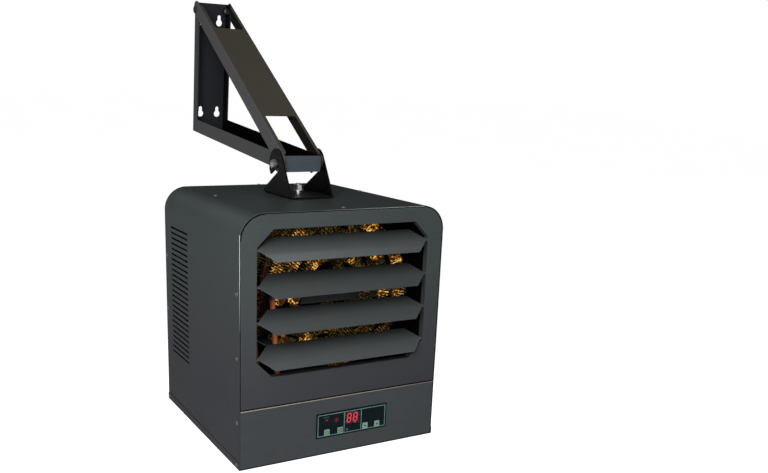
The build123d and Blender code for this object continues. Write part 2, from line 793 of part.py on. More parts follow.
# Rear panel: a flanged arch with a round air intake
knockout_places = ((110.0, 45.0), (140.0, 45.0))
knockout_radius = 11.0
with BuildPart() as rear_panel:
    with BuildSketch(Plane.XZ.offset(-cabinet_depth)):
        arch(cover_half_width, cover_bottom, cover_top, cover_radius)
    extrude(amount=flange_depth)
    with BuildSketch(Plane.XZ.offset(sheet - cabinet_depth)):
        arch(
            cover_half_width - sheet,
            cover_bottom + sheet,
            cover_top - sheet,
            cover_radius - sheet,
        )
    extrude(amount=flange_depth - sheet, mode=Mode.SUBTRACT)
    with BuildSketch(Plane.XZ.offset(-cabinet_depth)):
        with Locations((0, fan_center_height)):
            Circle(intake_radius)
        with Locations(*knockout_places):
            Circle(knockout_radius)
    extrude(amount=sheet, mode=Mode.SUBTRACT)
    cross_hole(
        screw_hole_radius, cabinet_half_width, *side_screw_places[3:], pan_screw_places[1]
    )
    with BuildSketch(Plane.XY.offset(cover_top)):
        with Locations(top_screw_places[1]):
            Circle(screw_hole_radius)
    extrude(amount=-sheet, mode=Mode.SUBTRACT)
rear_panel.part.label = "rear_panel"
export_step(hung(rear_panel.part), "parts/rear_panel.step")

# Intake guard: concentric flat rings on crossed spokes, screwed inside the rear panel
guard_ring_radii = (15.0, 30.0, 45.0, 60.0, 75.0, 90.0, 105.0, 120.0)
guard_bar = 2.6
guard_sheet = 1.6
guard_spoke = 4.0
guard_rim = (intake_radius - 2.0, intake_radius + 7.0)
guard_front = cabinet_depth - sheet - guard_sheet
with BuildPart() as rear_guard:
    with BuildSketch(Plane.XZ.offset(-guard_front)):
        with Locations((0, fan_center_height)):
            Circle(guard_rim[1])
            Circle(guard_rim[0], mode=Mode.SUBTRACT)
            for ring_radius in guard_ring_radii:
                with BuildSketch(mode=Mode.PRIVATE) as ring:
                    Circle(ring_radius + guard_bar / 2)
                    Circle(ring_radius - guard_bar / 2, mode=Mode.SUBTRACT)
                add(ring.sketch)
            with PolarLocations(0, 3):
                Rectangle(2 * intake_radius, guard_spoke)
    extrude(amount=-guard_sheet)
rear_guard.part.label = "rear_guard"
export_step(hung(rear_guard.part), "parts/rear_guard.step")

plug_head = (13.0, 1.2)
plug_shank = (10.8, 3.0)
with BuildPart() as knockout_plugs:
    with BuildSketch(Plane.XZ.offset(-cabinet_depth)):
        with Locations(*knockout_places):
            Circle(plug_head[0])
    extrude(amount=-plug_head[1])
    with BuildSketch(Plane.XZ.offset(-cabinet_depth)):
        with Locations(*knockout_places):
            Circle(plug_shank[0])
    extrude(amount=plug_shank[1])
knockout_plugs.part.label = "knockout_plugs"
export_step(hung(knockout_plugs.part), "parts/knockout_plugs.step")

# Shields behind the side slots: shallow channels with their own slots, standing off the wall
shield_standoff = 6.0
shield_height = 229.4
shield_span = (222.0, 324.0)
shield_bend = 1.5
shield_slot = (slot_length - 10.0, 10.0)
shield_slot_rows = 12
inner_wall = cabinet_half_width - sheet
with BuildPart() as side_shields:
    with BuildSketch(
        Plane(
            (inner_wall - shield_standoff, shield_span[0], slot_center_z),
            x_dir=(0, 0, -1),
            z_dir=(0, -1, 0),
        )
    ):
        bent_channel(shield_height / 2, shield_standoff, duct_sheet, shield_bend)
    extrude(amount=shield_span[0] - shield_span[1])
    with BuildSketch(Plane.YZ):
        with Locations((slot_center_y, slot_center_z)):
            with GridLocations(slot_length, 2 * slot_pitch, 1, shield_slot_rows):
                Rectangle(*shield_slot)
    extrude(amount=inner_wall, mode=Mode.SUBTRACT)
    mirror(about=Plane.YZ)
side_shields.part.label = "side_shields"
export_step(hung(side_shields.part), "parts/side_shields.step")

# Shelf between the heating chamber and the wiring compartment
shelf_half_width = cover_half_width - sheet - 0.2
shelf_flange = 4.0
shelf_span = (10.0, 338.0)
shelf_bend = 1.5
with BuildPart() as divider_shelf:
    with BuildSketch(
        Plane((0, shelf_span[0], shelf_top - sheet), x_dir=(1, 0, 0), z_dir=(0, -1, 0))
    ):
        bent_channel(shelf_half_width, shelf_flange, sheet, shelf_bend)
    extrude(amount=shelf_span[0] - shelf_span[1])
divider_shelf.part.label = "divider_shelf"
export_step(hung(divider_shelf.part), "parts/divider_shelf.step")

# Air duct: a black liner bent over the heating chamber, standing on the shelf
duct_front = 3.0
duct_radius = 25.0
with BuildPart() as air_duct:
    with BuildSketch(
        Plane((0, duct_front, duct_top + duct_sheet), x_dir=(-1, 0, 0), z_dir=(0, -1, 0))
    ):
        bent_channel(
            duct_half_width + duct_sheet,
            duct_top + duct_sheet - shelf_top,
            duct_sheet,
            duct_radius,
        )
    extrude(amount=duct_front - shroud_front)
air_duct.part.label = "air_duct"
export_step(hung(air_duct.part), "parts/air_duct.step")

# Fan shroud: a partition with a rolled collar round the fan
collar_front = 180.0
collar_sheet = 1.2
shroud_rim = 13.0
shroud_corner_radius = corner_radius - 4.0
shroud_half_width = shelf_half_width - 2 * sheet
with BuildPart() as fan_shroud:
    with BuildSketch(Plane.XZ.offset(-shroud_front)):
        arch(shroud_half_width, shelf_top, reinforcement_bottom, shroud_corner_radius)
        with Locations((0, fan_center_height)):
            Circle(shroud_hole_radius, mode=Mode.SUBTRACT)
    extrude(amount=-sheet)
    with BuildSketch(Plane.XZ.offset(-collar_front)):
        with Locations((0, fan_center_height)):
            Circle(shroud_hole_radius + collar_sheet)
            Circle(shroud_hole_radius, mode=Mode.SUBTRACT)
    extrude(amount=collar_front - shroud_front - sheet)
    with BuildSketch(Plane.XZ.offset(-shroud_front)):
        arch(shroud_half_width, shelf_top, reinforcement_bottom, shroud_corner_radius)
        offset(amount=-sheet, mode=Mode.SUBTRACT)
    extrude(amount=-shroud_rim)
    with BuildSketch(Plane.XY.offset(cabinet_height)):
        with Locations(*top_screw_places[2:]):
            Circle(screw_hole_radius)
    extrude(amount=-2 * reinforcement_sheet, mode=Mode.SUBTRACT)
fan_shroud.part.label = "fan_shroud"
export_step(hung(fan_shroud.part), "parts/fan_shroud.step")

# Fan: twisted, cambered blades lofted from hub to tip
hub_radius = 24.0
hub_length = 22.0
blade_sheet = 1.6
shaft_radius = 4.0
root_chord = 52.0
tip_chord = 112.0
root_pitch = -40.0
tip_pitch = -24.0
blade_rest_angle = 48.0
blade_camber = 0.09
blade_root = hub_radius - 3.0
blade_tip = fan_radius - 8.0
blade_blank_depth = 80.0
with BuildPart() as fan_blade:
    for reach, chord, pitch in (
        (blade_root, root_chord, root_pitch),
        (blade_tip, tip_chord, tip_pitch),
    ):
        chord_way = (0, cos(radians(pitch)), sin(radians(pitch)))
        with BuildSketch(Plane((reach, 0, 0), x_dir=chord_way, z_dir=(1, 0, 0))):
            with BuildLine():
                ThreePointArc((-chord / 2, 0), (0, chord * blade_camber), (chord / 2, 0))
                offset(amount=blade_sheet, side=Side.RIGHT)
            make_face()
    loft(ruled=True)
with BuildPart() as fan:
    with PolarLocations(0, fan_blades, start_angle=blade_rest_angle):
        add(fan_blade.part)
    Cylinder(fan_radius, blade_blank_depth, mode=Mode.INTERSECT)
    Cylinder(hub_radius, hub_length)
    Cylinder(shaft_radius, hub_length, mode=Mode.SUBTRACT)
fan.part.label = "fan"
fan_seat = Location((0, fan_front + 15, fan_center_height), (-90, 0, 0))
export_step(hung(fan.part.moved(fan_seat)), "parts/fan.step")

# Fan motor, its shaft, and the bracket that holds it behind the shroud
shaft_front = fan_front + 4
shaft_rear = motor_front + motor_length - 12.0
motor_bore_end = 10.0
motor_bore_radius = 4.05
motor_seat = Plane.XZ.offset(-motor_front)
with BuildPart() as fan_shaft:
    with BuildSketch(Plane.XZ.offset(-shaft_front)):
        with Locations((0, fan_center_height)):
            Circle(shaft_radius)
    extrude(amount=shaft_front - shaft_rear)
fan_shaft.part.label = "fan_shaft"
export_step(hung(fan_shaft.part), "parts/fan_shaft.step")

bell_length = 14.0
bell_radius = motor_radius - 5.0
bell_rounding = 4.0
with BuildPart() as fan_motor:
    with BuildSketch(motor_seat):
        with Locations((0, fan_center_height)):
            Circle(bell_radius)
    extrude(amount=-bell_length)
    with BuildSketch(motor_seat.offset(-bell_length)):
        with Locations((0, fan_center_height)):
            Circle(motor_radius)
    extrude(amount=2 * bell_length - motor_length)
    with BuildSketch(motor_seat.offset(bell_length - motor_length)):
        with Locations((0, fan_center_height)):
            Circle(bell_radius)
    extrude(amount=-bell_length)
    fillet(
        faces().filter_by(Axis.Y).sort_by(Axis.Y)[-1].edges()
        + faces().filter_by(Axis.Y).sort_by(Axis.Y)[0].edges(),
        bell_rounding,
    )
    with BuildSketch(motor_seat):
        with Locations((0, fan_center_height)):
            Circle(motor_bore_radius)
    extrude(amount=motor_bore_end - motor_length, mode=Mode.SUBTRACT)
fan_motor.part.label = "fan_motor"
export_step(hung(fan_motor.part), "parts/fan_motor.step")

mount_depth = motor_front + bell_length + 4
mount_reach = shroud_hole_radius + 10
mount_arm_width = 14.0
mount_sheet = 3.0
mount_ring_radius = motor_radius + 4.0
with BuildPart() as motor_mount:
    with BuildSketch(Plane.XZ.offset(-mount_depth)):
        with Locations((0, fan_center_height)):
            Circle(mount_ring_radius)
            with PolarLocations(0, 4, start_angle=45):
                Rectangle(mount_reach, mount_arm_width, align=(Align.MIN, Align.CENTER))
            Circle(motor_radius, mode=Mode.SUBTRACT)
    extrude(amount=-mount_sheet)
    with BuildSketch(Plane.XZ.offset(-shroud_front - sheet)):
        with Locations((0, fan_center_height)):
            with PolarLocations(mount_reach, 4, start_angle=45):
                Rectangle(mount_sheet, mount_arm_width, align=(Align.MAX, Align.CENTER))
    extrude(amount=-(mount_depth + mount_sheet - shroud_front - sheet))
motor_mount.part.label = "motor_mount"
export_step(hung(motor_mount.part), "parts/motor_mount.step")

# Heating elements: a sheathed tube bent into an open ring, with fins pressed along it
hex_tube_radius = element_tube_radius + 0.5
fin_free_angle = 5.0


def ring_point(ring, angle):
    """Point of a ring's centre line, with its angle seen from the front."""
    center_x, ring_radius = ring
    return Vector(
        center_x + ring_radius * cos(radians(angle)),
        element_plane,
        element_center_height + ring_radius * sin(radians(angle)),
    )


def elbow(corner_start, way_in, way_out):
    """Quarter turn from one direction into another."""
    middle = way_in * sin(radians(45)) + way_out * (1 - cos(radians(45)))
    ThreePointArc(
        corner_start,
        corner_start + middle * element_bend,
        corner_start + (way_in + way_out) * element_bend,
    )


def bend_ring(ring, leg_to_shelf):
    """Runs the tube's path: a leg in, the ring clockwise from nine o'clock, a leg out."""
    back = Vector(0, 1, 0)
    up = Vector(0, 0, 1)
    last_angle = 180 - element_sweep
    start = ring_point(ring, 180)
    finish = ring_point(ring, last_angle)
    way_out = Vector(sin(radians(last_angle)), 0, -cos(radians(last_angle)))
    with BuildLine() as path:
        if leg_to_shelf:
            Line((start.X, start.Y, shelf_top), start)
        else:
            corner = start + (back - up) * element_bend
            Line(Vector(corner.X, terminal_plate_depth, corner.Z), corner)
            elbow(corner, -back, up)
        ThreePointArc(start, ring_point(ring, 180 - element_sweep / 2), finish)
        elbow(finish, way_out, back)
        corner = finish + (way_out + back) * element_bend
        Line(corner, Vector(corner.X, terminal_plate_depth, corner.Z))
    return path.wire()


element_leads = []
for name, ring, fins, leg_to_shelf in (
    ("outer_element", outer_ring, outer_fins, True),
    ("middle_element", middle_ring, middle_fins, False),
    ("inner_element", inner_ring, inner_fins, False),
):
    route = bend_ring(ring, leg_to_shelf)
    fin_clearance = degrees(element_bend / ring[1])
    fin_span = element_sweep - 2 * fin_clearance - 2 * fin_free_angle
    element_leads.append(route @ 1)
    if not leg_to_shelf:
        element_leads.append(route @ 0)
    with BuildPart() as element:
        with BuildSketch(Plane(route @ 0, z_dir=route % 0)):
            RegularPolygon(hex_tube_radius, 6)
        sweep(path=route)
        fin_plane = Plane(
            (ring[0], element_plane, element_center_height), x_dir=(-1, 0, 0), z_dir=(0, 1, 0)
        )
        with Locations(fin_plane):
            with PolarLocations(
                ring[1],
                fins,
                start_angle=fin_free_angle + fin_clearance / 2,
                angular_range=fin_span,
                endpoint=True,
            ):
                with Locations(Rotation(90, 0, 0)):
                    Cylinder(fin_radius, fin_sheet)
    element.part.label = name
    export_step(hung(element.part), f"parts/{name}.step")

# Plate that carries the ends of the elements, with insulated terminals behind it
terminal_plate_right = -38.0
terminal_plate_span = (186.0, 260.0)
terminal_flange = 16.0
terminal_plate_rounding = 8.0
lead_places = [(lead.X, lead.Z) for lead in element_leads]
insulator = (5.0, 9.0)
blade_terminal = (1.0, 6.3, 8.0)
with BuildPart() as terminal_plate:
    with BuildSketch(Plane.XY.offset(terminal_plate_span[0])):
        with BuildLine():
            FilletPolyline(
                (-duct_half_width, terminal_plate_depth + terminal_flange),
                (-duct_half_width, terminal_plate_depth),
                (terminal_plate_right, terminal_plate_depth),
                radius=terminal_plate_sheet + 0.5,
            )
            offset(amount=terminal_plate_sheet, side=Side.LEFT)
        make_face()
    extrude(amount=terminal_plate_span[1] - terminal_plate_span[0])
    fillet(edges().filter_by(Axis.Y).group_by(Axis.X)[-1], terminal_plate_rounding)
terminal_plate.part.label = "terminal_plate"
export_step(hung(terminal_plate.part), "parts/terminal_plate.step")

terminal_back = Plane.XZ.offset(-terminal_plate_depth - terminal_plate_sheet)
with BuildPart() as element_terminals:
    with BuildSketch(terminal_back):
        with Locations(*lead_places):
            Circle(insulator[0])
    extrude(amount=-insulator[1])
    with BuildSketch(terminal_back.offset(-insulator[1])):
        with Locations(*lead_places):
            Rectangle(*blade_terminal[:2])
    extrude(amount=-blade_terminal[2])
element_terminals.part.label = "element_terminals"
export_step(hung(element_terminals.part), "parts/element_terminals.step")

# Strap across the back of the rings, folded onto the right wall of the duct
strap_front = element_plane + fin_radius
strap_sheet = 1.5
strap_span = (238.0, 252.0)
strap_left = -48.0
strap_bend = 2.0
with BuildPart() as element_strap:
    with BuildSketch(Plane.XY.offset(strap_span[0])):
        with BuildLine():
            FilletPolyline(
                (duct_half_width, strap_front + terminal_flange),
                (duct_half_width, strap_front),
                (strap_left, strap_front),
                radius=strap_bend,
            )
            offset(amount=strap_sheet, side=Side.RIGHT)
        make_face()
    extrude(amount=strap_span[1] - strap_span[0])
element_strap.part.label = "element_strap"
export_step(hung(element_strap.part), "parts/element_strap.step")

# High limit switch on the duct's right wall, and the sensing bulb clipped under its roof
limit_place = (120.0, 330.0)
limit_flange = (32.0, 15.0, 1.2)
limit_can = (8.0, 8.0)
limit_blade_spacing = 8.0
limit_seat = Plane.YZ.offset(duct_half_width + duct_sheet)
with BuildPart() as high_limit_switch:
    with BuildSketch(limit_seat):
        with Locations(limit_place):
            SlotOverall(*limit_flange[:2])
    extrude(amount=limit_flange[2])
    with BuildSketch(limit_seat.offset(limit_flange[2])):
        with Locations(limit_place):
            Circle(limit_can[0])
    extrude(amount=limit_can[1])
    with BuildSketch(limit_seat.offset(limit_flange[2] + limit_can[1])):
        with Locations(limit_place):
            with GridLocations(limit_blade_spacing, 1, 2, 1):
                Rectangle(*blade_terminal[:2])
    extrude(amount=blade_terminal[2] - 1)
high_limit_switch.part.label = "high_limit_switch"
export_step(hung(high_limit_switch.part), "parts/high_limit_switch.step")

bulb_center = Vector(-105.0, 32.0, 370.0)
bulb_length = 34.0
bulb_radius = 2.6
bulb_rounding = 1.2
bulb_clip = 8.0
with BuildPart() as sensing_bulb:
    with BuildSketch(Plane(bulb_center, z_dir=(1, 0, 0))):
        Circle(bulb_radius)
    extrude(amount=bulb_length / 2, both=True)
    fillet(edges().filter_by(GeomType.CIRCLE), bulb_rounding)
    with BuildSketch(Plane.XZ.offset(-bulb_center.Y)):
        with Locations((bulb_center.X, duct_top)):
            Rectangle(bulb_clip, duct_top - bulb_center.Z, align=(Align.CENTER, Align.MAX))
    extrude(amount=bulb_clip / 2, both=True)
sensing_bulb.part.label = "sensing_bulb"
export_step(hung(sensing_bulb.part), "parts/sensing_bulb.step")

# Wiring compartment: contactor, transformer, terminal block and ground lug on the pan
pan_floor = Plane.XY.offset(sheet)
contactor_place = (-95.0, 210.0)
contactor_foot = (62.0, 86.0, 5.0)
contactor_body = (56.0, 64.0, 34.0)
contactor_cap = (56.0, 38.0, 18.0)
contactor_chamfer = 2.0
pole_spacing = (18.0, 52.0)
pole_screw = (4.5, 3.0)
body_top = pan_floor.offset(contactor_foot[2] + contactor_body[2])
with BuildPart() as contactor:
    with BuildSketch(pan_floor):
        with Locations(contactor_place):
            Rectangle(*contactor_foot[:2])
    extrude(amount=contactor_foot[2])
    with BuildSketch(pan_floor.offset(contactor_foot[2])):
        with Locations(contactor_place):
            Rectangle(*contactor_body[:2])
    extrude(amount=contactor_body[2])
    with BuildSketch(body_top):
        with Locations(contactor_place):
            Rectangle(*contactor_cap[:2])
    extrude(amount=contactor_cap[2])
    chamfer(faces().sort_by(Axis.Z)[-1].edges(), contactor_chamfer)
    with BuildSketch(body_top):
        with Locations(contactor_place):
            with GridLocations(*pole_spacing, 3, 2):
                Circle(pole_screw[0])
    extrude(amount=pole_screw[1])
contactor.part.label = "contactor"
export_step(hung(contactor.part), "parts/contactor.step")

transformer_place = (10.0, 215.0)
transformer_core = (62.0, 30.0, 42.0)
transformer_coil = (40.0, 50.0, 24.0)
coil_rounding = 6.0
with BuildPart() as transformer:
    with BuildSketch(pan_floor):
        with Locations(transformer_place):
            Rectangle(*transformer_core[:2])
    extrude(amount=transformer_core[2])
    with BuildSketch(pan_floor.offset((transformer_core[2] - transformer_coil[2]) / 2)):
        with Locations(transformer_place):
            RectangleRounded(*transformer_coil[:2], coil_rounding)
    extrude(amount=transformer_coil[2])
transformer.part.label = "transformer"
export_step(hung(transformer.part), "parts/transformer.step")

block_place = (112.0, 270.0)
block_size = (68.0, 34.0, 16.0)
barrier = (2.0, 34.0, 9.0)
block_spacing = (22.0, 18.0)
block_screw = (3.5, 3.0)
with BuildPart() as terminal_block:
    with BuildSketch(pan_floor):
        with Locations(block_place):
            Rectangle(*block_size[:2])
    extrude(amount=block_size[2])
    with BuildSketch(pan_floor.offset(block_size[2])):
        with Locations(block_place):
            with GridLocations(block_spacing[0], 1, 4, 1):
                Rectangle(*barrier[:2])
    extrude(amount=barrier[2])
    with BuildSketch(pan_floor.offset(block_size[2])):
        with Locations(block_place):
            with GridLocations(*block_spacing, 3, 2):
                Circle(block_screw[0])
    extrude(amount=block_screw[1])
terminal_block.part.label = "terminal_block"
export_step(hung(terminal_block.part), "parts/terminal_block.step")

lug_place = (112.0, 225.0)
lug_clamp_place = (112.0, 220.0)
lug_tongue = (12.0, 26.0, 2.5)
lug_clamp = (12.0, 12.0, 9.0)
lug_screw = (3.5, 4.0)
with BuildPart() as ground_lug:
    with BuildSketch(pan_floor):
        with Locations(lug_place):
            Rectangle(*lug_tongue[:2])
    extrude(amount=lug_tongue[2])
    with BuildSketch(pan_floor.offset(lug_tongue[2])):
        with Locations(lug_clamp_place):
            Rectangle(*lug_clamp[:2])
    extrude(amount=lug_clamp[2])
    with BuildSketch(pan_floor.offset(lug_tongue[2] + lug_clamp[2])):
        with Locations(lug_clamp_place):
            Circle(lug_screw[0])
    extrude(amount=lug_screw[1])
ground_lug.part.label = "ground_lug"
export_step(hung(ground_lug.part), "parts/ground_lug.step")


def dome_screw(seat, shank_length=wall_screw_length):
    """Adds a low domed screw whose head rests on the seat plane."""
    with BuildSketch(seat) as head_outline:
        Circle(screw_head[0])
    extrude(head_outline.sketch, amount=screw_head[1], taper=screw_head_taper)
    with BuildSketch(seat) as shank_outline:
        Circle(screw_radius)
    extrude(shank_outline.sketch, amount=-shank_length)


# Screws
with BuildPart() as side_screws:
    for depth, height in side_screw_places:
        dome_screw(Plane((cabinet_half_width, depth, height), z_dir=(1, 0, 0)))
    mirror(about=Plane.YZ)
side_screws.part.label = "side_screws"
export_step(hung(side_screws.part), "parts/side_screws.step")

with BuildPart() as pan_screws:
    for depth, height in pan_screw_places:
        dome_screw(Plane((cabinet_half_width + sheet, depth, height), z_dir=(1, 0, 0)))
    mirror(about=Plane.YZ)
pan_screws.part.label = "pan_screws"
export_step(hung(pan_screws.part), "parts/pan_screws.step")

with BuildPart() as top_screws:
    for x, depth in top_screw_places:
        dome_screw(Plane((x, depth, cabinet_height), z_dir=(0, 0, 1)), top_screw_length)
top_screws.part.label = "top_screws"
export_step(hung(top_screws.part), "parts/top_screws.step")
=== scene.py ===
import json
from math import cos, degrees, exp, pi, radians, sin, tan

import bmesh
import bpy
from mathutils import Euler, Matrix, Vector


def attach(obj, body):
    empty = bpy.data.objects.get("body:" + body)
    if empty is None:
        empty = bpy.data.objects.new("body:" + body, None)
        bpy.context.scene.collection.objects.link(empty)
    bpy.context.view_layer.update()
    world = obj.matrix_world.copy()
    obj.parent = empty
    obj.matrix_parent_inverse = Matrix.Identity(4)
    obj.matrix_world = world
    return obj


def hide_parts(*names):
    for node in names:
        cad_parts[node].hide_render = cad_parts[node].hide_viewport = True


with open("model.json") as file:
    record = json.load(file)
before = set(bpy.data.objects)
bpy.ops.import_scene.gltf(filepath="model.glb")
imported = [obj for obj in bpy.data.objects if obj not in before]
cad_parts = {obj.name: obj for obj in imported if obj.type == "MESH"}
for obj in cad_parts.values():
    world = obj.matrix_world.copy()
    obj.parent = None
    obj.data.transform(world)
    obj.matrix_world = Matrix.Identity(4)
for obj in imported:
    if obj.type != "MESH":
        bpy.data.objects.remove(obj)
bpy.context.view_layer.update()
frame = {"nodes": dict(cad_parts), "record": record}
nodes = frame["nodes"]

# Cabinet: drawn upright in millimetres, x from its middle, y from its front to the back and
# z up from its base, and then hung on the tilt axis of the bracket
MM = Matrix.Scale(0.001, 4)
TILT_AXIS = Vector((0, -430, -116))
TILT_AXIS_IN_CABINET = Vector((0, 181, 449))
REST_TILT = radians(-5.5)
HUNG = (
    MM
    @ Matrix.Translation(TILT_AXIS)
    @ Matrix.Rotation(REST_TILT, 4, "X")
    @ Matrix.Translation(-TILT_AXIS_IN_CABINET)
)
HUNG_TURN = HUNG.to_3x3().normalized()
RIGHT = Vector((1, 0, 0))
BACK = Vector((0, 1, 0))
UP = Vector((0, 0, 1))
CABINET_HALF = 178.0
CABINET_TOP = 396.5
CORNER_RADIUS = 40.0
COVER_TOP = 100
SHEET = 1.0

# Node materials, with the numbers of a mix node's colour inputs and of its colour output
MIX_UNDER = 6
MIX_OVER = 7
MIX_RESULT = 2
# Radius of the paler paint edges, partly worn and partly a painted highlight
WORN_AND_HIGHLIT_EDGE = 0.0012


def screen(red, green, blue):
    """Linear colour from an 8-bit screen colour, by the standard screen curve."""
    return tuple(
        value / 3294.6 if value < 11 else ((value / 255 + 0.055) / 1.055) ** 2.4
        for value in (red, green, blue)
    )


def grey(level):
    """Linear grey."""
    return (level, level, level)


def tint(colour, factor):
    """Scales a colour."""
    return tuple(min(1.0, channel * factor) for channel in colour)


def shader(name):
    """Starts a material and returns it with its tree and its surface shader."""
    made = bpy.data.materials.new(name)
    made.use_nodes = True
    tree = made.node_tree
    return made, tree, tree.nodes["Principled BSDF"]


def wire(socket, value):
    """Gives an input a value or another node's output."""
    if isinstance(value, bpy.types.NodeSocket):
        socket.id_data.links.new(value, socket)
    else:
        socket.default_value = value


def plug(node, **inputs):
    """Wires a node's inputs by their names."""
    for key, value in inputs.items():
        wire(node.inputs[key.replace("_", " ")], value)


def add(tree, kind, settings=(), **inputs):
    """Adds a node with its settings, and wires its inputs."""
    made = tree.nodes.new(kind)
    for key, value in settings:
        setattr(made, key, value)
    plug(made, **inputs)
    return made


def combine(tree, operation, first, second):
    """Arithmetic on two numbers."""
    made = add(tree, "ShaderNodeMath", [("operation", operation)])
    wire(made.inputs[0], first)
    wire(made.inputs[1], second)
    return made.outputs["Value"]


def product(tree, *factors):
    """Multiplies numbers."""
    result, *others = factors
    for factor in others:
        result = combine(tree, "MULTIPLY", result, factor)
    return result


def unsigned(tree, value):
    """Drops the sign of a number."""
    return combine(tree, "ABSOLUTE", value, 0)


def join(tree, operation, first, second, result="Vector"):
    """Arithmetic on two vectors."""
    made = add(tree, "ShaderNodeVectorMath", [("operation", operation)])
    wire(made.inputs[0], first)
    wire(made.inputs[1], second)
    return made.outputs[result]


def scaled(tree, colour, factor):
    """Makes a colour brighter or darker by a factor."""
    return add(
        tree, "ShaderNodeVectorMath", [("operation", "SCALE")], Vector=colour, Scale=factor
    ).outputs["Vector"]


def layered(tree, factor, under, over, mode="MIX"):
    """Lays one colour over another."""
    settings = [("data_type", "RGBA"), ("blend_type", mode)]
    made = add(tree, "ShaderNodeMix", settings, Factor=factor)
    wire(made.inputs[MIX_UNDER], under)
    wire(made.inputs[MIX_OVER], over)
    return made.outputs[MIX_RESULT]


def blend(tree, factor, first, second):
    """Mixes two numbers."""
    return add(
        tree, "ShaderNodeMix", [("data_type", "FLOAT")], Factor=factor, A=first, B=second
    ).outputs["Result"]


def noise(tree, scale, detail=3.0, stretch=(1, 1, 1), roughness=0.55):
    """Noise on the object's own coordinates, with its scale in grains per metre."""
    place = add(tree, "ShaderNodeTexCoord").outputs["Object"]
    mapped = add(tree, "ShaderNodeMapping", Vector=place, Scale=stretch).outputs["Vector"]
    return add(
        tree,
        "ShaderNodeTexNoise",
        Vector=mapped,
        Scale=scale,
        Detail=detail,
        Roughness=roughness,
    ).outputs["Fac"]


def ramp(tree, factor, *stops):
    """Colour ramp through (place, colour) stops."""
    made = add(tree, "ShaderNodeValToRGB", Fac=factor)
    elements = made.color_ramp.elements
    while len(elements) < len(stops):
        elements.new(0.5)
    for element, (place, colour) in zip(elements, stops):
        element.position = place
        element.color = (*colour, 1)
    return made.outputs["Color"]


def span(tree, factor, low, high, from_low=0.3, from_high=0.7):
    """Maps a factor to a range."""
    made = add(tree, "ShaderNodeMapRange", Value=factor)
    for socket, value in zip(made.inputs[1:5], (from_low, from_high, low, high)):
        socket.default_value = value
    return made.outputs["Result"]


def relief(shade, height, depth, strength):
    """Gives a shader fine relief, with its depth in metres."""
    bump = add(shade.id_data, "ShaderNodeBump", Height=height, Distance=depth, Strength=strength)
    plug(shade, Normal=bump.outputs["Normal"])


def reach_along(tree, origin, way):
    """Distance in metres from an origin, along a direction fixed to the object."""
    place = add(tree, "ShaderNodeTexCoord").outputs["Object"]
    offset = join(tree, "SUBTRACT", place, origin)
    return join(tree, "DOT_PRODUCT", offset, way, "Value")


def lean(tree):
    """Parts of the direction that the surface faces."""
    direction = add(tree, "ShaderNodeNewGeometry").outputs["Normal"]
    return add(tree, "ShaderNodeSeparateXYZ", Vector=direction).outputs


def outer_faces(tree, half_width):
    """Factor that is 1 on side faces further out than a half width in metres."""
    out = unsigned(tree, reach_along(tree, (0, 0, 0), RIGHT))
    beyond = combine(tree, "GREATER_THAN", out, half_width)
    return product(tree, beyond, unsigned(tree, lean(tree)["X"]))


def worn_and_highlit_edges(tree):
    """Factor that is high where two faces meet at an edge."""
    rounded = add(tree, "ShaderNodeBevel", [("samples", 4)], Radius=WORN_AND_HIGHLIT_EDGE).outputs["Normal"]
    flat = add(tree, "ShaderNodeNewGeometry").outputs["Normal"]
    match = join(tree, "DOT_PRODUCT", rounded, flat, "Value")
    return span(tree, match, 1.0, 0.0, 0.80, 0.985)


def powder_coat(name, colour, roughness, sheen=1.12, edge_wear_and_highlight=1.5, painted_light=None, second=None):
    """Baked paint: fine orange peel, faint cloudy tone, streaks, and paler edges that are
    worn in part and a painted highlight in part. Its gloss is set by its index of refraction,
    the sheen. A light factor, when given, paints light and shade on its colour, and second
    is another colour with the mask of where it shows."""
    made, tree, shade = shader(name)
    cloud = noise(tree, 7, 4)
    streak = noise(tree, 24, 5, stretch=(1, 1, 9))
    orange_peel = noise(tree, 1500, 2)
    tone = blend(tree, 0.4, cloud, streak)
    paint = ramp(
        tree, tone, (0.30, tint(colour, 0.90)), (0.5, colour), (0.72, tint(colour, 1.10))
    )
    # Paler edges: partly worn paint, partly a painted highlight
    edge = product(tree, worn_and_highlit_edges(tree), span(tree, streak, 0.35, 1.0))
    finish = layered(tree, edge, paint, (*tint(colour, edge_wear_and_highlight), 1))
    if second:
        other, mask = second
        finish = layered(tree, mask(tree), finish, (*other, 1))
    # Painted light and shade, as a factor on the colour
    if painted_light:
        finish = scaled(tree, finish, painted_light(tree))
    plug(
        shade,
        Base_Color=finish,
        Roughness=span(tree, tone, roughness - 0.05, roughness + 0.06),
        IOR=sheen,
    )
    relief(shade, orange_peel, depth=0.00006, strength=0.35)
    return made


def plated(name, colour, roughness, spangle=180):
    """Bare or plated metal with cloudy crystal and fine scratches."""
    made, tree, shade = shader(name)
    cloud = noise(tree, spangle, 4)
    scratch = noise(tree, 900, 3, stretch=(1, 0.06, 1))
    metal = ramp(
        tree, cloud, (0.30, tint(colour, 0.78)), (0.55, colour), (0.75, tint(colour, 1.15))
    )
    plug(
        shade,
        Base_Color=metal,
        Metallic=1.0,
        Roughness=span(tree, scratch, roughness - 0.08, roughness + 0.1),
    )
    relief(shade, scratch, depth=0.00003, strength=0.3)
    return made


def moulded(name, colour, roughness, specular=0.4, grain_scale=2200):
    """Moulded plastic or enamel: a fine pebbled skin with a slight change of tone."""
    made, tree, shade = shader(name)
    tone = noise(tree, 40, 3)
    plug(
        shade,
        Base_Color=ramp(tree, tone, (0.3, tint(colour, 0.86)), (0.7, tint(colour, 1.14))),
        Roughness=span(tree, tone, roughness - 0.04, roughness + 0.05),
        Specular_IOR_Level=specular,
    )
    relief(shade, noise(tree, grain_scale, 2), depth=0.00004, strength=0.35)
    return made


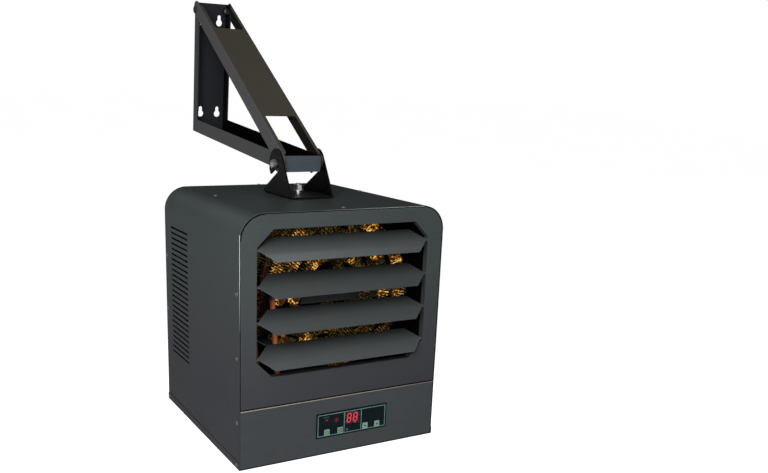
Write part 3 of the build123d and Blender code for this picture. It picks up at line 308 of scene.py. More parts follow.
def glowing(name, colour, strength):
    """Lit plastic with a slightly uneven glow."""
    made, tree, shade = shader(name)
    tone = noise(tree, 600, 2)
    plug(
        shade,
        Base_Color=ramp(tree, tone, (0.3, tint(colour, 0.12)), (0.7, tint(colour, 0.15))),
        Emission_Color=ramp(tree, tone, (0.3, tint(colour, 0.85)), (0.7, colour)),
        Emission_Strength=strength,
        Roughness=0.4,
        Specular_IOR_Level=0.2,
    )
    return made


def fins_with_painted_glints(name):
    """Fin strip: olive and gold scale with a faint painted glow, and painted orange and yellow
    glints that glow in the listed stretches.
    """
    made, tree, shade = shader(name)
    glint_strength = add(tree, "ShaderNodeAttribute", [("attribute_name", "glint_share")]).outputs["Fac"]
    fleck = noise(tree, 210, 2, roughness=0.6)
    patch = noise(tree, 60, 2)
    tone = blend(tree, 0.7, patch, fleck)
    scale = ramp(
        tree,
        tone,
        (0.42, screen(16, 13, 8)),
        (0.52, screen(70, 58, 27)),
        (0.62, screen(160, 132, 66)),
    )
    # A faint painted glow all over the fins
    painted_glow = ramp(
        tree,
        tone,
        (0.45, screen(2, 2, 1)),
        (0.54, screen(28, 24, 11)),
        (0.64, screen(98, 80, 34)),
    )
    # Painted glints that glow, strongest in the listed stretches
    sparkle = product(tree, glint_strength, span(tree, fleck, 0.0, 1.25, 0.42, 0.66))
    glow = ramp(
        tree,
        sparkle,
        (0.20, grey(0.0)),
        (0.42, screen(108, 70, 24)),
        (0.70, screen(220, 140, 38)),
        (1.0, screen(255, 218, 118)),
    )
    plug(
        shade,
        Base_Color=scale,
        Metallic=0.6,
        Roughness=span(tree, fleck, 0.25, 0.45),
        Emission_Color=layered(tree, 1.0, painted_glow, glow, "LIGHTEN"),
        Emission_Strength=1.0,
    )
    relief(shade, fleck, depth=0.0002, strength=0.5)
    return made


def sheath_with_painted_glow(name):
    """Sheath of an element: darkened under its fins as painted shade, and copper red along its
    bare legs, which also glow as painted light.
    """
    made, tree, shade = shader(name)
    bare = add(tree, "ShaderNodeAttribute", [("attribute_name", "bare")]).outputs["Fac"]
    band = noise(tree, 30, 3, stretch=(1, 1, 0.6))
    fleck = noise(tree, 700, 2)
    oxide = ramp(
        tree,
        band,
        (0.34, screen(70, 46, 38)),
        (0.50, screen(186, 112, 68)),
        (0.66, screen(132, 84, 62)),
    )
    leg_glow = ramp(tree, band, (0.34, screen(30, 12, 8)), (0.55, screen(124, 68, 36)))
    plug(
        shade,
        Base_Color=scaled(tree, oxide, span(tree, bare, 0.12, 1.0, 0, 1)),
        Metallic=0.5,
        Roughness=span(tree, fleck, 0.35, 0.5),
        Emission_Color=scaled(tree, leg_glow, span(tree, bare, 0.1, 1.0, 0, 1)),
        Emission_Strength=0.6,
    )
    relief(shade, fleck, depth=0.0001, strength=0.4)
    return made


def clear_window(name):
    """Clear, faintly smoked window."""
    made, tree, shade = shader(name)
    tone = noise(tree, 300, 2)
    plug(
        shade,
        Base_Color=ramp(tree, tone, (0.3, (0.80, 0.78, 0.78)), (0.7, (0.90, 0.88, 0.88))),
        Transmission_Weight=1.0,
        Roughness=0.02,
        IOR=1.25,
        Specular_IOR_Level=0.2,
    )
    return made


def plate_with_painted_glints(name):
    """Near-black sheet as painted shade, with painted red-brown glints towards the duct's left
    wall, which glow.
    """
    made, tree, shade = shader(name)
    fleck = noise(tree, 260, 3)
    leftward = reach_along(tree, (0, 0, 0), -RIGHT)
    patch = product(
        tree,
        span(tree, leftward, 0.0, 1.0, 0.095, 0.125),
        span(tree, leftward, 1.0, 0.1, 0.135, 0.146),
    )
    glints = ramp(
        tree,
        product(tree, patch, span(tree, fleck, 0.0, 1.1, 0.45, 0.66)),
        (0.1, screen(8, 7, 7)),
        (0.5, screen(84, 44, 26)),
        (0.9, screen(150, 96, 50)),
    )
    plug(
        shade,
        Base_Color=glints,
        Roughness=span(tree, fleck, 0.5, 0.65),
        IOR=1.04,
        Emission_Color=glints,
        Emission_Strength=0.3,
    )
    relief(shade, fleck, depth=0.0001, strength=0.4)
    return made


def cabinet_painted_shade(tree):
    """Painted shade on the cabinet: darker towards its foot and its right, and on its top and
    sides.
    """
    foot = HUNG @ Vector((0, 0, COVER_TOP))
    rise = span(tree, reach_along(tree, foot, HUNG_TURN @ UP), 0.76, 1.03, 0.0, 0.21)
    across = span(tree, reach_along(tree, foot, RIGHT), 1.04, 0.92, -0.17, 0.17)
    parts = lean(tree)
    top_shade = span(tree, parts["Z"], 1.0, 0.62, 0.75, 0.985)
    side_shade = span(tree, unsigned(tree, parts["X"]), 1.0, 0.86, 0.8, 0.98)
    return product(tree, rise, across, top_shade, side_shade)


def lowness(tree):
    """Factor that is 1 at the cabinet's foot and 0 above its middle."""
    height = reach_along(tree, HUNG.translation, HUNG_TURN @ UP)
    return span(tree, height, 1.0, 0.0, 0.10, 0.32)


# One look for each material slot of the record
looks = {
    "bracket_paint": powder_coat("bracket_paint", screen(50, 50, 47), 0.42),
    "cabinet_paint": powder_coat(
        "cabinet_paint",
        screen(68, 74, 74),
        0.45,
        # Painted shade over the cabinet paint
        painted_light=cabinet_painted_shade,
        second=(screen(72, 73, 78), lowness),
    ),
    "cover_paint": powder_coat("cover_paint", screen(68, 71, 73), 0.45),
    "louver_paint": powder_coat("louver_paint", screen(74, 78, 78), 0.48),
    "liner_black": powder_coat("liner_black", screen(8, 8, 8), 0.7, 1.04),
    "zinc_steel": plated("zinc_steel", (0.34, 0.34, 0.33), 0.4),
    "galvanised": plated("galvanised", (0.16, 0.16, 0.165), 0.45, 60),
    "overlay_film": moulded("overlay_film", screen(6, 19, 24), 0.5, 0.1, 700),
    "key_cap": moulded("key_cap", screen(124, 152, 140), 0.5, 0.3),
    "lens": clear_window("lens"),
    "display_body": moulded("display_body", screen(10, 8, 10), 0.5, 0.1),
    "status_lamp": glowing("status_lamp", screen(124, 30, 42), 0.75),
    "board_laminate": moulded("board_laminate", (0.012, 0.10, 0.04), 0.35),
    "black_plastic": moulded("black_plastic", (0.014, 0.014, 0.015), 0.45),
    "motor_steel": moulded("motor_steel", (0.02, 0.02, 0.021), 0.38),
    "shaft_steel": plated("shaft_steel", grey(0.12), 0.35),
    "fan_aluminium": plated("fan_aluminium", (0.045, 0.045, 0.05), 0.5, 90),
    "element_copper": fins_with_painted_glints("element_copper"),
    "ceramic_white": moulded("ceramic_white", (0.68, 0.65, 0.58), 0.22),
    "terminal_brass": plated("terminal_brass", (0.30, 0.22, 0.09), 0.4),
    "transformer_steel": moulded("transformer_steel", (0.06, 0.06, 0.062), 0.5),
    "dark_screw": plated("dark_screw", grey(0.10), 0.42),
}


def lit_and_shaded_paint(name, inner, outer, half_width, skyward_light=1.0):
    """Bracket paint with painted light: a lit, paler colour on side faces further out than a
    half width, painted shade on the inner side faces, and lighter where a face looks up by
    a factor for painted light."""

    def mask(tree):
        return outer_faces(tree, half_width / 1000)

    def painted_light(tree):
        parts = lean(tree)
        sideways = span(tree, unsigned(tree, parts["X"]), 0.0, 1.0, 0.7, 0.95)
        inward = combine(tree, "MAXIMUM", combine(tree, "SUBTRACT", sideways, mask(tree)), 0)
        darkened = span(tree, inward, 1.0, 0.22, 0.0, 1.0)
        return product(tree, darkened, span(tree, parts["Z"], 1.0, skyward_light, 0.8, 0.97))

    return powder_coat(name, inner, 0.42, second=(outer, mask), painted_light=painted_light)


# Blades: height of the pivot, strength of the painted highlight on the hem at the left
# and brightness of the blade's painted light
BLADE_PIVOT_DEPTH = 2.7
BLADE_LEAN = radians(50)
BLADE_REACH = 0.0238
BLADE_UP = Vector((0, sin(BLADE_LEAN), cos(BLADE_LEAN)))
blades = {
    "louver_1": (341.2, 1.75, 0.96),
    "louver_2": (286.0, 1.14, 0.76),
    "louver_3": (231.0, 1.14, 0.82),
    "louver_4": (175.0, 1.22, 0.9),
}


def blade_paint(name, height, hem_highlight, tone):
    """Blade paint: painted shade towards the back edge and a painted highlight along the front
    hem.
    """
    origin = HUNG @ Vector((0, BLADE_PIVOT_DEPTH, height))

    def painted_light(tree):
        reach = reach_along(tree, origin, HUNG_TURN @ BLADE_UP)
        place = span(tree, reach, 0.0, 1.0, -BLADE_REACH, BLADE_REACH)
        # Painted highlight on the hem, strongest at the left, and painted shade towards the back
        # edge
        on_hem = ramp(tree, place, (0.0, grey(1.0)), (0.22, grey(0.92)), (0.42, grey(0.0)))
        shade_up = span(tree, place, tone, 0.26 * tone, 0.45, 1.0)
        hem = span(tree, reach_along(tree, origin, RIGHT), hem_highlight - 1, 0.05, -0.12, 0.2)
        return product(tree, shade_up, combine(tree, "ADD", product(tree, on_hem, hem), 1.0))

    return powder_coat(name, screen(74, 78, 78), 0.48, edge_wear_and_highlight=1.9, painted_light=painted_light)


# Nodes with their own shade of their slot's look; many of these colours are painted light or
# shade
bolt_look = plated("bolt_zinc", (0.80, 0.82, 0.84), 0.36)
# Near-black sheet: painted shade on parts that sit in shade inside the cabinet
shade_sheet_look = powder_coat("painted_shade_sheet", screen(8, 7, 7), 0.7, 1.04)
shaded_looks = {
    # Bracket: lit and shaded copies of one paint, darker on inner faces; the brace's olive web is
    # a painted warm reflection
    "wall_plate": lit_and_shaded_paint("plate_paint", screen(40, 41, 45), screen(72, 73, 74), 32.5),
    "lower_arm": lit_and_shaded_paint("arm_paint", screen(18, 18, 19), screen(78, 79, 80), 32.5),
    # The end plate's paler colour is a lit copy of the bracket paint
    "arm_end_plate": powder_coat("end_plate_paint", screen(74, 82, 87), 0.42),
    "brace": lit_and_shaded_paint("brace_paint", screen(67, 64, 56), screen(84, 84, 86), 35.0),
    "brace_bolts": powder_coat("brace_bolt_paint", screen(48, 48, 46), 0.4),
    "yoke": lit_and_shaded_paint("yoke_paint", screen(14, 14, 14), screen(27, 27, 27), 38.3, 3.0),
    "fan_shroud": shade_sheet_look,
    "motor_mount": shade_sheet_look,
    "element_strap": powder_coat("strap_paint", screen(60, 62, 62), 0.5),
    "terminal_plate": plate_with_painted_glints("plate_with_painted_glints"),
    "element_terminals": powder_coat("sooted_terminal", screen(60, 58, 52), 0.5),
    "side_shields": shade_sheet_look,
    "swivel_spacer": bolt_look,
    "swivel_washer": bolt_look,
}
for name, tones in blades.items():
    shaded_looks[name] = blade_paint(name + "_paint", *tones)
for part in frame["record"]["subparts"]:
    node = nodes[part["node"]]
    node.data.materials.clear()
    node.data.materials.append(shaded_looks.get(part["node"], looks[part["material_slot"]]))

# Mesh helpers: they draw in millimetres
TUBE_SIDES = 16
SHARP_ANGLE = radians(38)


def bridge(mesh, rings):
    """Skins a row of closed loops that have equal counts."""
    for lower, upper in zip(rings, rings[1:]):
        for step in range(len(lower)):
            following = (step + 1) % len(lower)
            mesh.faces.new((lower[step], lower[following], upper[following], upper[step]))


def close_ends(mesh, rings):
    """Skins a row of loops and closes both its ends."""
    bridge(mesh, rings)
    mesh.faces.new(rings[0])
    mesh.faces.new(rings[-1])


def slab(mesh, outline, front, back):
    """Adds an upright slab with an outline in x and z, between two depths."""
    close_ends(mesh, [[mesh.verts.new((x, y, z)) for x, z in outline] for y in (front, back)])


def stroke(mesh, start, end, width, front, back):
    """Adds a straight line of a given width between two places in x and z."""
    run = Vector(end) - Vector(start)
    side = Vector((-run.y, run.x)).normalized() * width / 2
    corners = (Vector(start) + side, Vector(end) + side, Vector(end) - side, Vector(start) - side)
    slab(mesh, corners, front, back)


def turned(mesh, seat, rows, sides=48):
    """Adds a closed form round the seat's Z axis from rows of height and radius.
    Either may be worked out from the angle."""
    rings = []
    for height, radius in rows:
        ring = []
        for step in range(sides):
            angle = 2 * pi * step / sides
            reach = radius(angle) if callable(radius) else radius
            lift = height(angle) if callable(height) else height
            place = seat @ Vector((reach * cos(angle), reach * sin(angle), lift))
            ring.append(mesh.verts.new(place))
        rings.append(ring)
    close_ends(mesh, rings)


def tube(mesh, path, radius, layer, marks):
    """Adds a round tube along a list of points, and marks a vertex layer along it."""
    rings = []
    normal = (path[1] - path[0]).orthogonal()
    for index, point in enumerate(path):
        way = path[min(index + 1, len(path) - 1)] - path[max(index - 1, 0)]
        way.normalize()
        normal = (normal - way * normal.dot(way)).normalized()
        side = way.cross(normal)
        ring = []
        for step in range(TUBE_SIDES):
            angle = 2 * pi * step / TUBE_SIDES
            made = mesh.verts.new(point + (normal * cos(angle) + side * sin(angle)) * radius)
            made[layer] = marks[index]
            ring.append(made)
        rings.append(ring)
    close_ends(mesh, rings)


def piece(name, mesh, body, look, slot, replaced=(), place=HUNG):
    """Makes an object of a mesh, puts it in its place and lets it ride on a body."""
    mesh.transform(place)
    bmesh.ops.recalc_face_normals(mesh, faces=mesh.faces)
    data = bpy.data.meshes.new(name)
    mesh.to_mesh(data)
    mesh.free()
    data.materials.append(look)
    data.shade_smooth()
    data.set_sharp_from_angle(angle=SHARP_ANGLE)
    made = bpy.data.objects.new(name, data)
    bpy.context.scene.collection.objects.link(made)
    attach(made, body)
    if replaced:
        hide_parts(*replaced)
    return made


def facing(place, way):
    """Seat at a place whose Z axis points a given way."""
    turn = Vector(way).to_track_quat("Z", "Y").to_matrix().to_4x4()
    return Matrix.Translation(Vector(place)) @ turn


# Heating elements: a bent sheath with one strip wound round it as a spiral fin
ELEMENT_DEPTH = 50.0
ELEMENT_HEIGHT = 258.0
ELEMENT_SWEEP = 325.0
BEND = 12.0
BEND_STEPS = 6
RING_STEPS = 90
SHEATH_RADIUS = 4.0
SHELF_TOP = 99.6
LEG_LEAN = 13.0
LEG_STRAIGHT_SHARE = 0.95
# How bare and red the legs are; the same share sets their painted glow
LEG_REDNESS = 1.0
LEAD_REDNESS = 0.3

# The fin strip, crimped from its root to its shoulder and less at its tip
FIN_ROOT = SHEATH_RADIUS - 0.2
FIN_SHOULDER = 6.4
FIN_RADIUS = 10.0
LEG_FIN_RADIUS = 9.0
FIN_PITCH = 4.4
FIN_STEPS = 26
FIN_CRIMP = 0.45
FIN_TIP_CRIMP = 0.8
FIN_THICKNESS = 0.0006
FIN_FREE_ANGLE = 5
LEAD_FINS = (0.05, 0.62)

# A rear bank of rings stands behind the terminal plate, as the front bank's mirror image
TERMINAL_PLATE = (84.0, 86.0)
REAR_BANK_DEPTH = 136.0
# The rear bank's share of the painted glints
REAR_BANK_GLINT = 0.35

# Middle and radius of each ring
elements = {
    "outer_element": (13.5, 116.5),
    "middle_element": (9.0, 91.0),
    "inner_element": (3.5, 60.5),
}

# Stretches of each ring with painted glints: angle, half-length in degrees and strength
glint_stretches = {
    "outer_element": (
        (158, 6, 1.0), (128, 6, 0.9), (100, 16, 0.38), (62, 8, 0.95), (22, 5, 1.0),
        (-6, 5, 0.95), (-46, 6, 0.9), (-84, 14, 0.38), (-128, 8, 0.5),
    ),
    "middle_element": (
        (146, 6, 1.0), (178, 5, 1.0), (72, 12, 0.35), (38, 6, 1.0), (-6, 6, 1.0),
        (-70, 20, 0.35), (-127, 6, 0.9),
    ),
    "inner_element": (
        (128, 10, 1.0), (172, 7, 1.0), (58, 8, 0.75), (5, 12, 0.45), (-95, 24, 0.4),
    ),
}


def ring_frame(ring, angle):
    """Place, outward direction and clockwise direction on a ring, seen from the front."""
    outward = Vector((cos(radians(angle)), 0, sin(radians(angle))))
    onward = Vector((sin(radians(angle)), 0, -cos(radians(angle))))
    middle = Vector((ring[0], ELEMENT_DEPTH, ELEMENT_HEIGHT))
    return middle + outward * ring[1], outward, onward


def quarter_turn(start, way_in, way_out):
    """Points of a bend from one direction into another."""
    angles = [radians(90 * step / BEND_STEPS) for step in range(1, BEND_STEPS + 1)]
    return [start + (way_in * sin(a) + way_out * (1 - cos(a))) * BEND for a in angles]


def element_path(name, ring, leg_end):
    """Centre line of an element, with a leg in, the ring and a leg out, and its count of
    points before the ring."""
    start = ring_frame(ring, 180)[0]
    last_angle = 180 - ELEMENT_SWEEP
    finish, _, way_out = ring_frame(ring, last_angle)
    if name == "outer_element":
        foot = Vector((start.x + LEG_LEAN, start.y, SHELF_TOP))
        path = [foot, foot.lerp(start, LEG_STRAIGHT_SHARE)]
    else:
        corner = start + (BACK - UP) * BEND
        path = [Vector((corner.x, leg_end, corner.z)), corner]
        path += quarter_turn(corner, -BACK, UP)[:-1]
    lead = len(path)
    for step in range(RING_STEPS + 1):
        path.append(ring_frame(ring, 180 - ELEMENT_SWEEP * step / RING_STEPS)[0])
    path += quarter_turn(finish, way_out, BACK)
    path.append(Vector((path[-1].x, leg_end, path[-1].z)))
    return path, lead


def glint_at(name, angle, share):
    """Strength of the painted glints on a ring at an angle, scaled by its bank's share."""
    return share * max(
        strength * exp(-(((angle - middle) / reach) ** 2))
        for middle, reach, strength in glint_stretches[name]
    )


def wind_fin(mesh, layer, at, length, fin_radius):
    """Winds one crimped strip edge on round a line. For a share of the line, at gives the
    place, a direction to the side, the direction onward and the strength of the painted glints."""
    count = int(length / FIN_PITCH * FIN_STEPS)
    strips = []
    for step in range(count + 1):
        place, side, onward, glint_strength = at(step / count)
        turn = 2 * pi * step / FIN_STEPS
        spoke = side * cos(turn) + side.cross(onward) * sin(turn)
        wave = FIN_CRIMP if step % 2 else -FIN_CRIMP
        strip = []
        for reach, swing in ((FIN_ROOT, 1.0), (FIN_SHOULDER, 1.0), (fin_radius, FIN_TIP_CRIMP)):
            point = mesh.verts.new(place + spoke * reach + onward * wave * swing)
            point[layer] = glint_strength
            strip.append(point)
        strips.append(strip)
    for before, after in zip(strips, strips[1:]):
        for level in (0, 1):
            mesh.faces.new((before[level], after[level], after[level + 1], before[level + 1]))


def wind_ring(mesh, layer, name, ring, share):
    """Winds the fin of a ring, clear of the bends at its ends."""
    clearance = degrees(BEND / ring[1])
    first = 180 - FIN_FREE_ANGLE - clearance / 2
    last = 180 - ELEMENT_SWEEP + FIN_FREE_ANGLE + 1.5 * clearance

    def at(part):
        angle = first + (last - first) * part
        return (*ring_frame(ring, angle), glint_at(name, angle, share))

    wind_fin(mesh, layer, at, radians(first - last) * ring[1], FIN_RADIUS)


def wind_lead(mesh, layer, corner, tip, glint_strength):
    """Winds a short, slightly smaller fin on the lead between a ring's bend and its tip."""
    start, end = (corner.lerp(tip, share) for share in LEAD_FINS)

    def at(part):
        return start.lerp(end, part), UP, (end - start).normalized(), glint_strength

    wind_fin(mesh, layer, at, (end - start).length, LEG_FIN_RADIUS)


def dress_element(name, prefix, share, place, leg_end):
    """Adds the sheath and the wound fins of one ring in one bank."""
    ring = elements[name]
    stands_for = () if prefix else (name,)
    route, lead = element_path(name, ring, leg_end)
    redness = LEG_REDNESS if prefix + name == "outer_element" else LEAD_REDNESS
    bareness = [
        0.0 if lead <= index <= lead + RING_STEPS else redness for index in range(len(route))
    ]
    sheath = bmesh.new()
    tube(sheath, route, SHEATH_RADIUS, sheath.verts.layers.float.new("bare"), bareness)
    placed = {"replaced": stands_for, "place": place}
    piece(prefix + name + "_sheath", sheath, "cabinet", sheath_look, "element_copper", **placed)
    fins = bmesh.new()
    layer = fins.verts.layers.float.new("glint_share")
    wind_ring(fins, layer, name, ring, share)
    if name != "outer_element":
        tip, corner = route[:2]
        wind_lead(fins, layer, corner, tip, share)
    fin_look = looks["element_copper"]
    wound = piece(prefix + name + "_fins", fins, "cabinet", fin_look, "element_copper", **placed)
    thickness = wound.modifiers.new("thickness", "SOLIDIFY")
    thickness.thickness = FIN_THICKNESS
    thickness.offset = 0


bank_span = ELEMENT_DEPTH + REAR_BANK_DEPTH
mirrored = Matrix.Translation((0, bank_span, 0)) @ Matrix.Scale(-1, 4, BACK)
sheath_look = sheath_with_painted_glow("element_sheath")
for name in elements:
    dress_element(name, "", 1.0, HUNG, TERMINAL_PLATE[0])
    dress_element(name, "rear_", REAR_BANK_GLINT, HUNG @ mirrored, bank_span - TERMINAL_PLATE[1])

# Screws, bolts and nuts
HEX_HALF = 6.5
HEX_CROWN = HEX_HALF * 0.94
HEX_FOOT = 0.5
HEX_TURN = pi / 6
BORE_MOUTH = 0.6
BORE_SINK = 0.5
BORE_PLAY = 0.1
BOLT_RADIUS = 4.0
BOLT_SIDES = 32
THREAD_PITCH = 1.25
THREAD_ROWS = 6
THREAD_SIDES = 24
THREAD_DEPTH = 0.55
THREAD_CHAMFER = 0.6
THREAD_CHAMFER_LENGTH = 0.8
SCREW_RADIUS = 3.6
SCREW_HEIGHT = 1.9
SCREW_FOOT = 0.35
SCREW_SIDES = 40
SCREW_ROWS = (3.4, 3.0, 2.5, 2.1, 1.95, 1.4, 0.9, 0.6, 0.3)
DOME_SHARE = 0.98
DOME_FOOT = 0.04
RECESS_HALF = 0.55
RECESS_REACH = 2.0
RECESS_DEPTH = 1.0

# Depth and height of the screws in both side walls, and x and depth of those in the top
SIDE_SCREWS = ((9, 277.5), (9, 178.6), (9, 76.4), (341, 276), (341, 178))
PAN_SCREWS = ((9, 6.8), (341, 6.8))
TOP_SCREWS = ((0, 17), (0, 341), (-136.6, 203.5), (136.6, 203.5))


def hex_reach(angle):
    """Radius of the hexagon at an angle."""
    return HEX_HALF / cos((angle + pi / 6) % (pi / 3) - pi / 6)


def hex_form(mesh, seat, height, bore=0.0, turn=0.0):
    """Adds a hexagon head or nut with a turned chamfer."""

    def shoulder(angle):
        return height - (hex_reach(angle) - HEX_CROWN) * tan(pi / 6)

    rows = [(0, HEX_CROWN), (HEX_FOOT, hex_reach), (shoulder, hex_reach), (height, HEX_CROWN)]
    if bore:
        rows += [(height, bore + BORE_MOUTH), (height - BORE_SINK, bore + BORE_PLAY)]
    turned(mesh, seat @ Matrix.Rotation(turn, 4, "Z"), rows)


def shank(mesh, seat, bottom, top):
    """Adds the plain round part of a bolt."""
    turned(mesh, seat, ((bottom, BOLT_RADIUS), (top, BOLT_RADIUS)), BOLT_SIDES)


def thread(mesh, seat, bottom, top):
    """Adds a threaded end with a small chamfer."""
    rows = []
    steps = int((top - bottom) / THREAD_PITCH * THREAD_ROWS)
    for step in range(steps + 1):
        height = bottom + (top - bottom) * step / steps
        fade = min(1.0, (top - height) / THREAD_CHAMFER_LENGTH)

        def reach(angle, height=height, fade=fade):
            phase = (height / THREAD_PITCH + angle / (2 * pi)) % 1
            chamfer = THREAD_CHAMFER * (1 - fade)
            return BOLT_RADIUS - THREAD_DEPTH * abs(2 * phase - 1) - chamfer

        rows.append((height, reach))
    turned(mesh, seat, rows, THREAD_SIDES)


def dome(reach):
    """Height of a screw head at a distance from its middle, less in the arms of its cross."""
    rise = SCREW_HEIGHT * (1 - (reach / SCREW_RADIUS) ** 2) ** 0.5 * DOME_SHARE + DOME_FOOT

    def lift(angle):
        across = min(abs(reach * cos(angle)), abs(reach * sin(angle)))
        sunk = RECESS_DEPTH if across < RECESS_HALF and reach < RECESS_REACH else 0.0
        return rise - sunk

    return lift


def screw_heads(name, replaced, seats):
    """Adds domed screw heads with a cross recess, as one piece."""
    rows = [(0, SCREW_RADIUS), (SCREW_FOOT, SCREW_RADIUS)]
    rows += [(dome(reach), reach) for reach in SCREW_ROWS]
    heads = bmesh.new()
    for seat in seats:
        turned(heads, seat, rows, SCREW_SIDES)
    piece(name, heads, "cabinet", screw_look, "dark_screw", (replaced,))


def wall_seats(half_width, places):
    """Seats at depths and heights on both side walls."""
    return [
        facing((side * half_width, depth, height), (side, 0, 0))
        for side in (-1, 1)
        for depth, height in places
    ]


screw_look = moulded("painted_screw", screen(82, 86, 88), 0.35, 0.5)
top_seats = [facing((x, depth, CABINET_TOP), UP) for x, depth in TOP_SCREWS]
screw_heads("side_screw_heads", "side_screws", wall_seats(CABINET_HALF, SIDE_SCREWS))
screw_heads("pan_screw_heads", "pan_screws", wall_seats(CABINET_HALF + SHEET, PAN_SCREWS))
screw_heads("top_screw_heads", "top_screws", top_seats)

# Swivel stack on the cabinet's top: a stud with its head inside, and its nut; each has its
# lowest place and its height, or its two ends
SWIVEL_DEPTH = 176
SWIVEL_HEAD = (389.5, 3.0)
SWIVEL_SHANK = (389.6, 414.5)
SWIVEL_THREAD = (414.4, 417.2)
SWIVEL_NUT = (406.7, 8.0)


def on_swivel(height):
    """Seat on the swivel's axis."""
    return facing((0, SWIVEL_DEPTH, height), UP)


stud = bmesh.new()
hex_form(stud, on_swivel(SWIVEL_HEAD[0]), SWIVEL_HEAD[1], turn=HEX_TURN)
shank(stud, on_swivel(0), *SWIVEL_SHANK)
thread(stud, on_swivel(0), *SWIVEL_THREAD)
piece("swivel_stud", stud, "cabinet", bolt_look, "zinc_steel", ("swivel_bolt",))
nut = bmesh.new()
hex_form(nut, on_swivel(SWIVEL_NUT[0]), SWIVEL_NUT[1], BOLT_RADIUS, HEX_TURN)
piece("swivel_hex_nut", nut, "cabinet", bolt_look, "zinc_steel", ("swivel_nut",))

# Tilt bolts with their heads outside the ears and nuts inside the arm
TILT_HEAD_SEAT = 41.2
TILT_HEAD = 5.5
TILT_SHANK = (0.2, -17)
TILT_NUT_SEAT = 31.0
TILT_NUT = 6.5
TILT_THREAD = (5.9, 8.0)
bolts = bmesh.new()
nuts = bmesh.new()
for side in (-1, 1):
    outer = facing((side * TILT_HEAD_SEAT, TILT_AXIS.y, TILT_AXIS.z), (side, 0, 0))
    hex_form(bolts, outer, TILT_HEAD)
    shank(bolts, outer, *TILT_SHANK)
    inner = facing((side * TILT_NUT_SEAT, TILT_AXIS.y, TILT_AXIS.z), (-side, 0, 0))
    thread(bolts, inner, *TILT_THREAD)
    hex_form(nuts, inner, TILT_NUT, BOLT_RADIUS, HEX_TURN)
piece("tilt_hex_bolts", bolts, "bracket", bolt_look, "zinc_steel", ("tilt_bolts",), MM)
piece("tilt_hex_nuts", nuts, "bracket", bolt_look, "zinc_steel", ("tilt_nuts",), MM)

# Rims round the front: narrow bands that follow the cabinet's outline; the dark ones are
# painted shadow in the gaps and the pale ones painted highlights on the edges
SHOULDER_ANGLES = range(0, 91, 6)
PANEL_FOOT = 98
GAP_INSETS = (1.0, 2.0)
GAP_DEPTHS = (-0.06, 0.4)
SHOULDER_GAP_INSETS = (1.2, 3.0)
SHOULDER_GAP_DEPTHS = (-0.08, 0.4)
RIM_DEPTHS = (-0.12, 0.3)
WRAPPER_RIM_X = -177.4
WRAPPER_RIM_SPAN = (222, 366)
TOP_RIM_Z = 396.0
TOP_RIM_SPAN = (-40, 138)


def outline_point(inset, arc_angle, side):
    """Place on the cabinet's rounded shoulder, moved inwards."""
    reach = CORNER_RADIUS - inset
    across = CABINET_HALF - CORNER_RADIUS + reach * cos(radians(arc_angle))
    rise = CABINET_TOP - CORNER_RADIUS + reach * sin(radians(arc_angle))
    return side * across, rise


def shoulder_line(inset):
    """Line over the left shoulder."""
    return [outline_point(inset, angle, -1) for angle in SHOULDER_ANGLES]


def rim_line(inset):
    """Line up the left side, over both shoulders and down the right side."""
    return [
        (inset - CABINET_HALF, PANEL_FOOT),
        *shoulder_line(inset),
        *(outline_point(inset, 90 - angle, 1) for angle in SHOULDER_ANGLES),
        (CABINET_HALF - inset, PANEL_FOOT),
    ]


def ribbon(mesh, outer, inner, front, back):
    """Adds a flat band between two lines that have equal counts."""
    sections = []
    for (x1, z1), (x2, z2) in zip(outer, inner):
        corners = ((x1, front, z1), (x1, back, z1), (x2, back, z2), (x2, front, z2))
        sections.append([mesh.verts.new(corner) for corner in corners])
    close_ends(mesh, sections)


def band(name, look, slot, start, end, width, depths):
    """Adds a straight narrow band as a piece."""
    mesh = bmesh.new()
    stroke(mesh, start, end, width, *depths)
    piece(name, mesh, "cabinet", look, slot)


def painted_highlight(name, colour, origin, way, near, far, reach):
    """Pale paint as a painted highlight, whose brightness runs from one factor to another
    along a direction from a cabinet place."""

    def painted_light(tree):
        along = reach_along(tree, HUNG @ Vector(origin), HUNG_TURN @ way)
        return span(tree, along, near, far, 0.0, reach / 1000)

    return powder_coat(name, colour, 0.4, edge_wear_and_highlight=1.0, painted_light=painted_light)


# Dark bands painted as the shadow in the gap round the front panel
gap = bmesh.new()
ribbon(gap, *(rim_line(inset) for inset in GAP_INSETS), *GAP_DEPTHS)
ribbon(gap, *(shoulder_line(inset) for inset in SHOULDER_GAP_INSETS), *SHOULDER_GAP_DEPTHS)
dark = powder_coat("gap_shadow", screen(5, 5, 5), 0.6, edge_wear_and_highlight=1.0)
piece("panel_gap", gap, "cabinet", dark, "cabinet_paint")
band(
    "wrapper_rim",
    painted_highlight("highlight_rim", screen(198, 200, 198), (-177, 0, 222), UP, 0.15, 1.0, 85),
    "cabinet_paint",
    *((WRAPPER_RIM_X, z) for z in WRAPPER_RIM_SPAN),
    width=0.9,
    depths=RIM_DEPTHS,
)
band(
    "top_rim",
    painted_highlight("highlight_top_rim", screen(150, 152, 146), (-40, 0, 396), RIGHT, 0.3, 1.0, 120),
    "cabinet_paint",
    *((x, TOP_RIM_Z) for x in TOP_RIM_SPAN),
    width=0.8,
    depths=RIM_DEPTHS,
)

